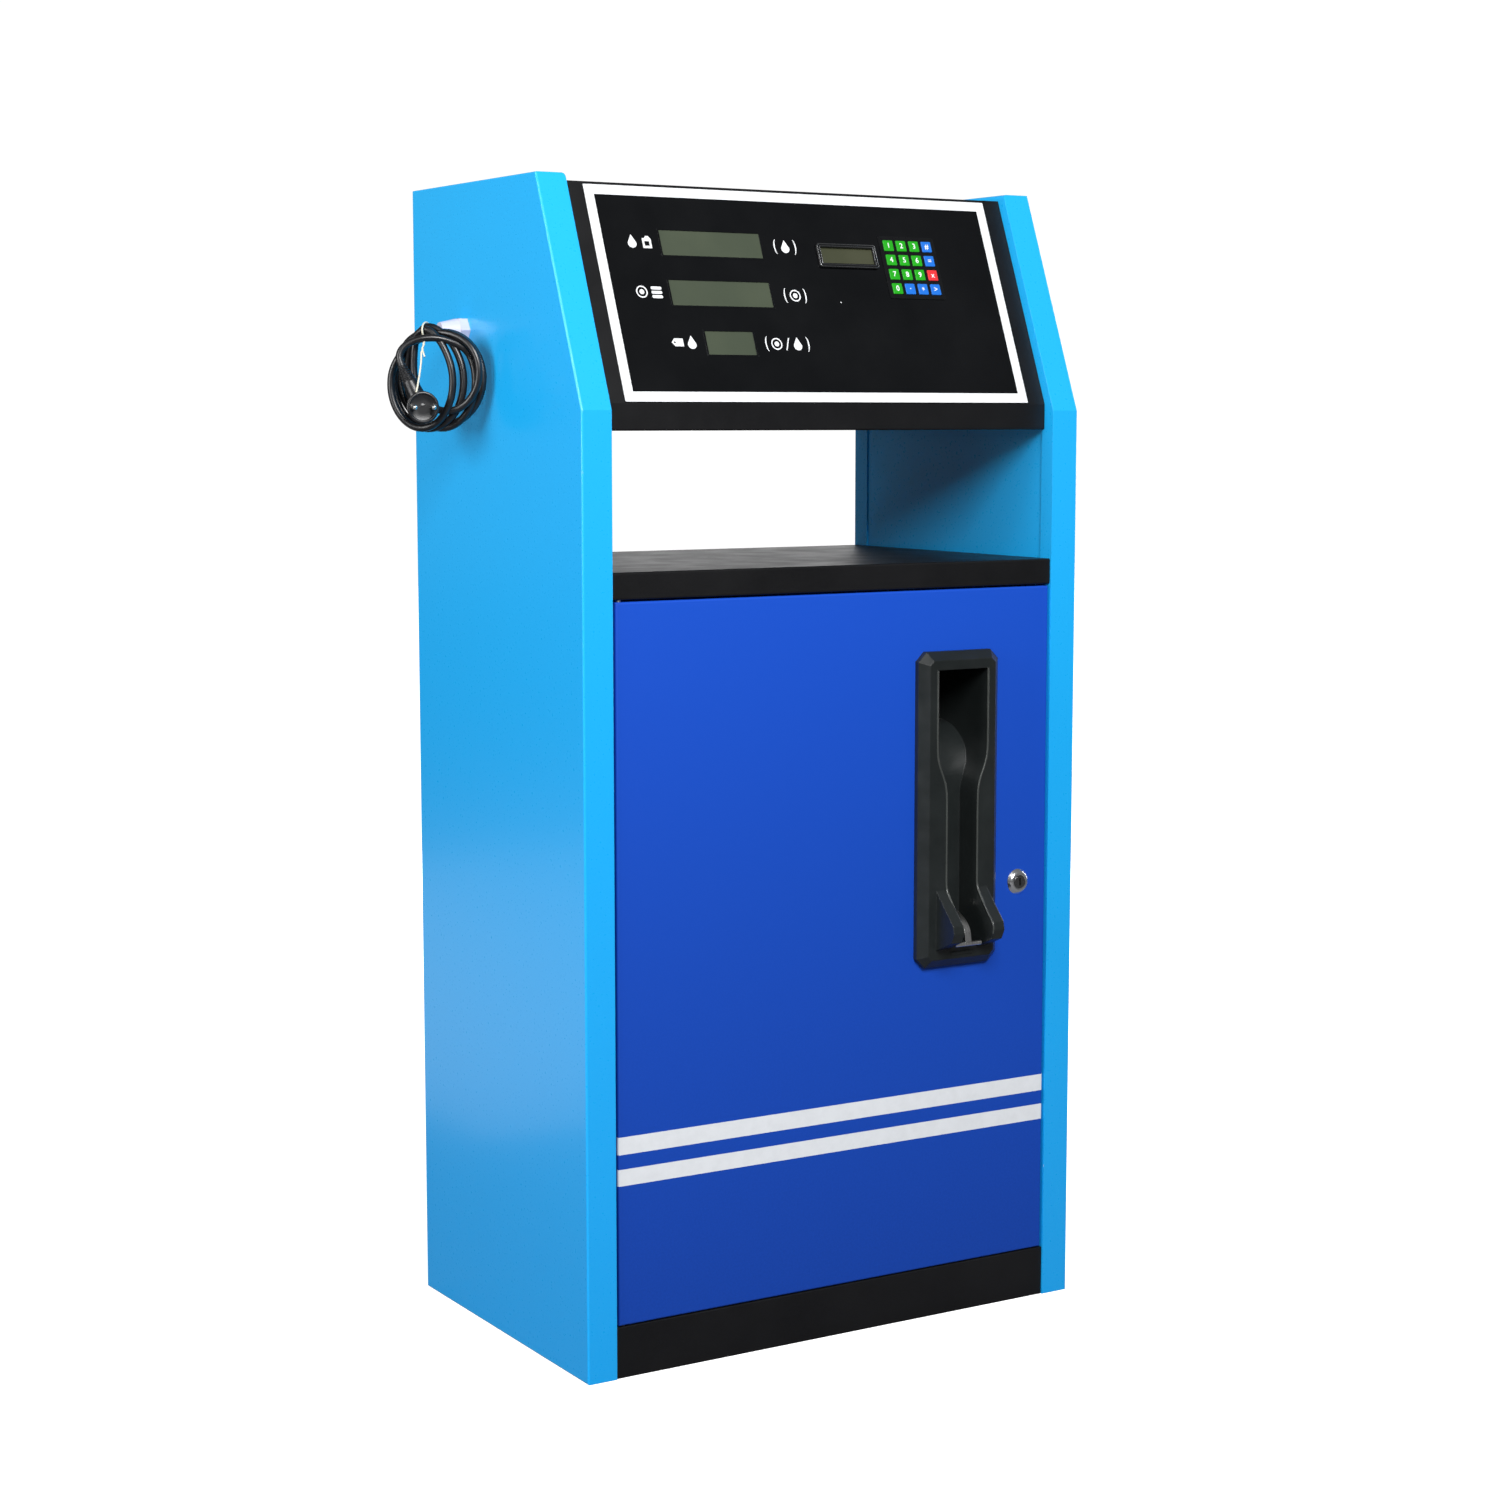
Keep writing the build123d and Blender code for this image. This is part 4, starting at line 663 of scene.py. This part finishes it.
def door_stripe(name, low, high):
    """A film strip across the whole door, wrapped round the rounded side edges."""
    path = [(DOOR_LEFT - FILM, DOOR_FRONT + FILM_WRAP), (DOOR_LEFT - FILM, DOOR_FRONT + DOOR_BEND)]
    reach = DOOR_BEND + FILM
    bend_y = DOOR_FRONT + DOOR_BEND
    for i in range(1, BEND_STEPS + 1):
        t = math.radians(90 * i / BEND_STEPS)
        path.append((DOOR_LEFT + DOOR_BEND - reach * math.cos(t), bend_y - reach * math.sin(t)))
    flat = DOOR_RIGHT - DOOR_LEFT - 2 * DOOR_BEND
    for i in range(1, FRONT_STEPS):
        path.append((DOOR_LEFT + DOOR_BEND + flat * i / FRONT_STEPS, DOOR_FRONT - FILM))
    for i in range(BEND_STEPS + 1):
        t = math.radians(90 - 90 * i / BEND_STEPS)
        path.append((DOOR_RIGHT - DOOR_BEND + reach * math.cos(t), bend_y - reach * math.sin(t)))
    path.append((DOOR_RIGHT + FILM, DOOR_FRONT + FILM_WRAP))
    bm = bmesh.new()
    rows = [[bm.verts.new((x, y, z)) for x, y in path] for z in (low, high)]
    for i in range(len(path) - 1):
        bm.faces.new((rows[0][i], rows[0][i + 1], rows[1][i + 1], rows[1][i]))
    piece = mesh_object(name, bm)
    solid = piece.modifiers.new("film", "SOLIDIFY")
    solid.thickness = FILM * 0.8
    solid.offset = -1.0
    place(piece, "door", stripe_white)


door_stripe("door_stripe_upper", 0.230, 0.248)
door_stripe("door_stripe_lower", 0.198, 0.215)


# ------------------------------------------------------------------ rolled lip round the nozzle boot's cavity, lighter in colour for a painted highlight
BOOT_X = 0.1435
BOOT_FACE = -0.203
LIP_RADIUS = 0.0011
LIP_INSET = 0.0003
# The cavity's edge from its top to the ear's tip: distance from the middle, height, distance from the face.
LIP_PATH = [
    (0.0320, 0.6990, 0.0), (0.0320, 0.6600, 0.0), (0.0320, 0.6240, 0.0), (0.0318, 0.6080, 0.0),
    (0.0285, 0.5960, 0.0), (0.0232, 0.5840, 0.0), (0.0200, 0.5720, 0.0), (0.0195, 0.5600, 0.0),
    (0.0195, 0.5200, 0.0), (0.0195, 0.4800, 0.0), (0.0195, 0.4670, 0.0004), (0.0195, 0.4600, 0.0055),
    (0.0195, 0.4500, 0.0135), (0.0195, 0.4400, 0.0220), (0.0195, 0.4325, 0.0295),
    (0.0195, 0.4265, 0.0318), (0.0195, 0.4205, 0.0300),
]


def boot_lip(name, side):
    """A thin rolled lip down one edge of the cavity and along the ear's sloping front edge, in a lighter
    plastic that paints the highlight on its rounded edge.
    """
    points = [(BOOT_X + side * (x + LIP_INSET), BOOT_FACE - out, z) for x, z, out in LIP_PATH]
    curve = nurbs_tube(name + "_line", points, LIP_RADIUS, 3, 4, 6)
    curve_to_piece(name, curve, Matrix.Identity(4), lip_highlight, "door")


boot_lip("boot_lip_left", -1)
boot_lip("boot_lip_right", 1)


# ------------------------------------------------------------------ lock and preset details
def turned(name, profile, origin, material, body):
    """A piece turned about an axis along Y: the profile is radius and Y in metres."""
    bm = bmesh.new()
    steps = 64
    rows = []
    for i in range(steps):
        t = 2 * math.pi * i / steps
        rows.append([bm.verts.new((origin[0] + radius * math.cos(t), y, origin[1] + radius * math.sin(t)))
                     for radius, y in profile])
    count = len(profile)
    for i in range(steps):
        for j in range(count):
            following = rows[(i + 1) % steps]
            bm.faces.new((rows[i][j], rows[i][(j + 1) % count], following[(j + 1) % count], following[j]))
    return place(mesh_object(name, bm, 50), body, material)


LOCK = (0.2284, 0.4643)     # the lock's place across and up
# The lock body's radius and Y, from the rotor's bore round the domed face to its back.
LOCK_PROFILE = [
    (0.00706, -0.1918), (0.0074, -0.1920), (0.0088, -0.1920), (0.0098, -0.1918), (0.0109, -0.1912),
    (0.0121, -0.1901), (0.0131, -0.1889), (0.0139, -0.1882), (0.0140, -0.1880), (0.0100, -0.1880),
    (0.0100, -0.1683), (0.00706, -0.1683),
]
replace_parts(turned("lock_ring", LOCK_PROFILE, LOCK, chrome, "door"), "lock_body")
frame["nodes"]["lock_rotor"].data.materials[0] = rotor_metal

# Two painted highlights on the preset bezel, thin bright lines where its raised edges catch the light: half
# width, half height, line width and corner radius.
BEZEL_MIDDLE = (52.7, 175.1)
BEZEL_STAND = 2.6
BEZEL_HIGHLIGHTS = [("outer", 36.0, 12.85, 0.7, 2.6), ("inner", 33.4, 10.4, 0.55, 1.2)]
bezel_face = face_matrix(*BEZEL_MIDDLE, FASCIA + BEZEL_STAND)
for name, half_wide, half_tall, wide, radius in BEZEL_HIGHLIGHTS:
    flat_print("preset_highlight_" + name,
               frame_loops(-half_wide, -half_tall, half_wide, half_tall, wide, radius, radius - wide * 0.6),
               bezel_face, highlight_silver, thick=0.25)


# ------------------------------------------------------------------ plug
PLUG_TURN = math.radians(27.0)
PIN_WAY = COIL_ACROSS * math.sin(PLUG_TURN) + COIL_OUT * math.cos(PLUG_TURN)
PIN_SIDE = COIL_ACROSS * math.cos(PLUG_TURN) - COIL_OUT * math.sin(PLUG_TURN)
PLUG_RADIUS = 16.5
PLUG_THICK = 18.0
PLUG_TAPER = math.radians(8.0)
COIL_FRONT = 12.0       # the coil's front, in its own frame
PLUG_GAP = 0.6
PLUG_BACK = PLUG_RADIUS - PLUG_THICK * math.tan(PLUG_TAPER)
PLUG_OUT = COIL_FRONT + PLUG_GAP + PLUG_BACK * math.sin(PLUG_TURN) + PLUG_THICK * math.cos(PLUG_TURN)
PLUG_FACE = coil_point(-1.0, -31.0, PLUG_OUT)
PLUG_HEART = PLUG_FACE - PIN_WAY * PLUG_THICK / 2 * MM
GRIP_END = PLUG_HEART - COIL_ACROSS * 22.0 * MM + UP * 43.0 * MM
PIN_SPACING = 19.0
# Radius and distance from the pin face, in mm: the disc from its back to the stepped face, and a pin.
DISC_PROFILE = [(9.0, -17.9), (12.6, -17.8), (13.7, -16.9), (14.3, -14.0), (15.3, -7.5), (16.1, -2.2),
                (16.3, -0.9), (15.6, -0.2), (14.2, 0.0), (13.6, -0.15), (13.2, -1.2), (12.4, -1.5),
                (6.0, -1.5)]
PIN_PROFILE = [(2.4, -2.0), (2.4, 0.0), (2.4, 6.0), (2.4, 16.8), (2.1, 18.2), (1.2, 18.9), (0.4, 19.0)]
GRIP_RINGS = 33
RIB_START, RIB_END = 0.62, 0.97     # the ribbed part, as a share of the grip's length


def ring_verts(bm, centre, first, second, radius_a, radius_b, steps=40):
    """The points of an ellipse on two given axes."""
    return [bm.verts.new(centre + first * radius_a * math.cos(2 * math.pi * i / steps)
                         + second * radius_b * math.sin(2 * math.pi * i / steps)) for i in range(steps)]


def skin(bm, rings):
    """Faces between following rings, with both ends closed."""
    count = len(rings[0])
    for a, b in zip(rings, rings[1:]):
        for i in range(count):
            bm.faces.new((a[i], a[(i + 1) % count], b[(i + 1) % count], b[i]))
    bm.faces.new(rings[0])
    bm.faces.new(list(reversed(rings[-1])))


def round_profile(bm, foot, profile, steps=40):
    """A closed round solid along the pins' direction, from radii and distances in mm."""
    skin(bm, [ring_verts(bm, foot + PIN_WAY * along * MM, PIN_SIDE, UP, radius * MM, radius * MM, steps)
              for radius, along in profile])


def make_disc():
    bm = bmesh.new()
    round_profile(bm, PLUG_FACE, DISC_PROFILE)
    return place(mesh_object("plug_disc", bm, 40), "root", plug_black)


def make_grip():
    """The grip leaves the disc at an angle, flattened at first, and ends in strain relief ribs."""
    bm = bmesh.new()
    axis = (GRIP_END - PLUG_HEART).normalized()
    first = PIN_WAY.cross(axis).normalized()
    second = axis.cross(first)
    length = (GRIP_END - PLUG_HEART).length
    rings = []
    for i in range(GRIP_RINGS + 1):
        t = i / GRIP_RINGS
        radius = 8.3 - 2.2 * t if t < RIB_START else 6.9 - 2.8 * (t - RIB_START) / (1 - RIB_START)
        if RIB_START < t < RIB_END and i % 2:
            radius -= 0.75
        flat = 1.0 + 0.22 * (1 - t)
        rings.append(ring_verts(bm, PLUG_HEART + axis * length * t, first, second,
                                radius * MM * flat, radius * MM, 28))
    skin(bm, rings)
    return place(mesh_object("plug_grip", bm, 50), "root", plug_black)


def make_pins():
    bm = bmesh.new()
    for side in (-1, 1):
        round_profile(bm, PLUG_FACE + PIN_SIDE * side * PIN_SPACING / 2 * MM, PIN_PROFILE, 24)
    return place(mesh_object("plug_pins", bm, 40), "root", pin_metal)


plug_pieces = [make_disc(), make_grip(), make_pins()]
for piece in plug_pieces:
    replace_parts(piece, "mains_plug")


# ------------------------------------------------------------------ paper twist tie
# All in mm, in the coil's own frame: across, up and out.
LOOP_START = -60.0                  # where the wire starts round the bundle, in degrees
LOOP_STEPS = 14
LOOP_DRIFT = 3.0                    # how far across the wire moves in its one turn
LOOP_UP, LOOP_OUT = 9.0, 13.6       # the loop's half sizes
KNOT_TURN = 150.0                   # twist from one point to the next, in degrees
KNOT_POINTS = 7
KNOT_RADIUS = 1.1
TIE_TAIL = [(-5.8, 19.0, 25.0), (-6.0, 8.0, 28.0), (-6.2, -2.0, 32.0), (-6.6, -10.0, 35.0),
            (-7.4, -16.0, 37.0)]
TIE_STUB = [(-3.4, 22.0, 25.0), (-2.0, 19.5, 26.0)]


def knot_points(start, top):
    """One strand of the twist under the bundle, from a start angle and a height."""
    points = []
    for i in range(KNOT_POINTS):
        t = math.radians(start + KNOT_TURN * i)
        points.append((-6.0 + KNOT_RADIUS * math.cos(t), top - 1.9 * i,
                       15.5 + 1.3 * i + KNOT_RADIUS * math.sin(t)))
    return points


def tie_strand(name, points, radius):
    curve = nurbs_tube(name + "_line", [coil_point(*point) for point in points], radius, 4, 3, 5)
    piece = curve_to_piece(name, curve, Matrix.Identity(4), tie_cream, "root")
    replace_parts(piece, "cord_tie")
    return piece


def make_tie():
    """A paper-covered wire: once round the bundle, a few twists, and a long tail that hangs down."""
    loop = []
    for i in range(LOOP_STEPS + 1):
        t = math.radians(LOOP_START - 360 * i / LOOP_STEPS)
        loop.append((-11.5 + LOOP_DRIFT * i / LOOP_STEPS, 46.0 + LOOP_UP * math.sin(t),
                     1.0 + LOOP_OUT * math.cos(t)))
    return [tie_strand("tie_wire", loop + knot_points(0, 36.0) + TIE_TAIL, 0.00095),
            tie_strand("tie_end", knot_points(180, 37.0) + TIE_STUB, 0.0009)]


tie_pieces = make_tie()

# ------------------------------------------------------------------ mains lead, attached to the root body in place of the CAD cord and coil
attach(cord, "root")
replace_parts(cord, "power_cord", "cord_coil")


# ------------------------------------------------------------------ floor and lights
def make_floor():
    """Pale paper: bright to the camera, dull to the paint, so that it throws little light upwards."""
    bm = bmesh.new()
    bmesh.ops.create_grid(bm, x_segments=1, y_segments=1, size=12.0)
    floor = mesh_object("floor", bm)
    n = Nodes("floor_white").set(Specular_IOR_Level=0.05, Emission_Color=(1.0, 1.0, 1.0, 1.0))
    seen = n.tree.nodes.new("ShaderNodeLightPath").outputs["Is Camera Ray"]
    paper = n.mix(n.noise(0.8, 2.0, 0.5), srgb("FBFBFB"), srgb("F5F5F6"))
    n.colour(n.mix(seen, (0.16, 0.16, 0.165), paper))
    away = n.tree.nodes.new("ShaderNodeVectorMath")
    away.operation = "LENGTH"
    n.link(n.place, away.inputs[0])
    # Painted light: the floor glows to the camera, weaker near the object and stronger far off, so that it
    # fades to white.
    glow = n.fit(away.outputs["Value"], 0.35, 2.2, 0.62, 1.25)
    n.link(n.times(seen, glow), n.shader.inputs["Emission Strength"])
    n.rough(n.fit(n.noise(3.0, 2.0, 0.5), 0.3, 0.7, 0.75, 0.85))
    floor.data.materials.append(n.material)


def make_light(name, location, target, size, power):
    """A soft rectangular light that points at a target."""
    data = bpy.data.lights.new(name, "AREA")
    data.shape = "RECTANGLE"
    data.size, data.size_y = size
    data.energy = power
    light = link(bpy.data.objects.new(name, data))
    light.location = location
    light.visible_camera = False
    light.rotation_euler = (Vector(target) - Vector(location)).to_track_quat("-Z", "Y").to_euler()


def make_world():
    """White to the camera, and a soft grey room to everything that the paint reflects."""
    world = bpy.data.worlds.new("studio")
    world.use_nodes = True
    tree = world.node_tree
    room = tree.nodes["Background"]
    room.inputs["Color"].default_value = (0.93, 0.96, 1.0, 1.0)
    room.inputs["Strength"].default_value = 0.16
    sky = tree.nodes.new("ShaderNodeBackground")
    sky.inputs["Color"].default_value = (1.0, 1.0, 1.0, 1.0)
    sky.inputs["Strength"].default_value = 1.05
    path = tree.nodes.new("ShaderNodeLightPath")
    blend = tree.nodes.new("ShaderNodeMixShader")
    tree.links.new(path.outputs["Is Camera Ray"], blend.inputs["Fac"])
    tree.links.new(room.outputs["Background"], blend.inputs[1])
    tree.links.new(sky.outputs["Background"], blend.inputs[2])
    tree.links.new(blend.outputs["Shader"], tree.nodes["World Output"].inputs["Surface"])
    bpy.context.scene.world = world


make_floor()
make_world()
make_light("key", (-0.9, -2.9, 2.5), (0.0, 0.0, 0.85), (1.3, 1.3), 132.0)
make_light("side", (-3.0, -0.4, 1.65), (0.0, 0.0, 0.75), (1.2, 1.8), 60.0)
make_light("rear", (1.5, 2.6, 1.1), (0.0, 0.0, 0.8), (2.4, 1.4), 15.0)
make_light("right", (3.0, 0.4, 1.1), (0.3, 0.0, 0.65), (1.8, 1.8), 42.0)
make_light("back", (1.35, 3.0, 0.5), (0.1, 0.2, 0.55), (1.3, 0.7), 22.0)
make_light("bounce", (-1.35, 1.75, 0.02), (-1.35, 1.751, 3.0), (1.5, 2.2), 6.0)
bpy.context.scene.view_settings.view_transform = "Standard"
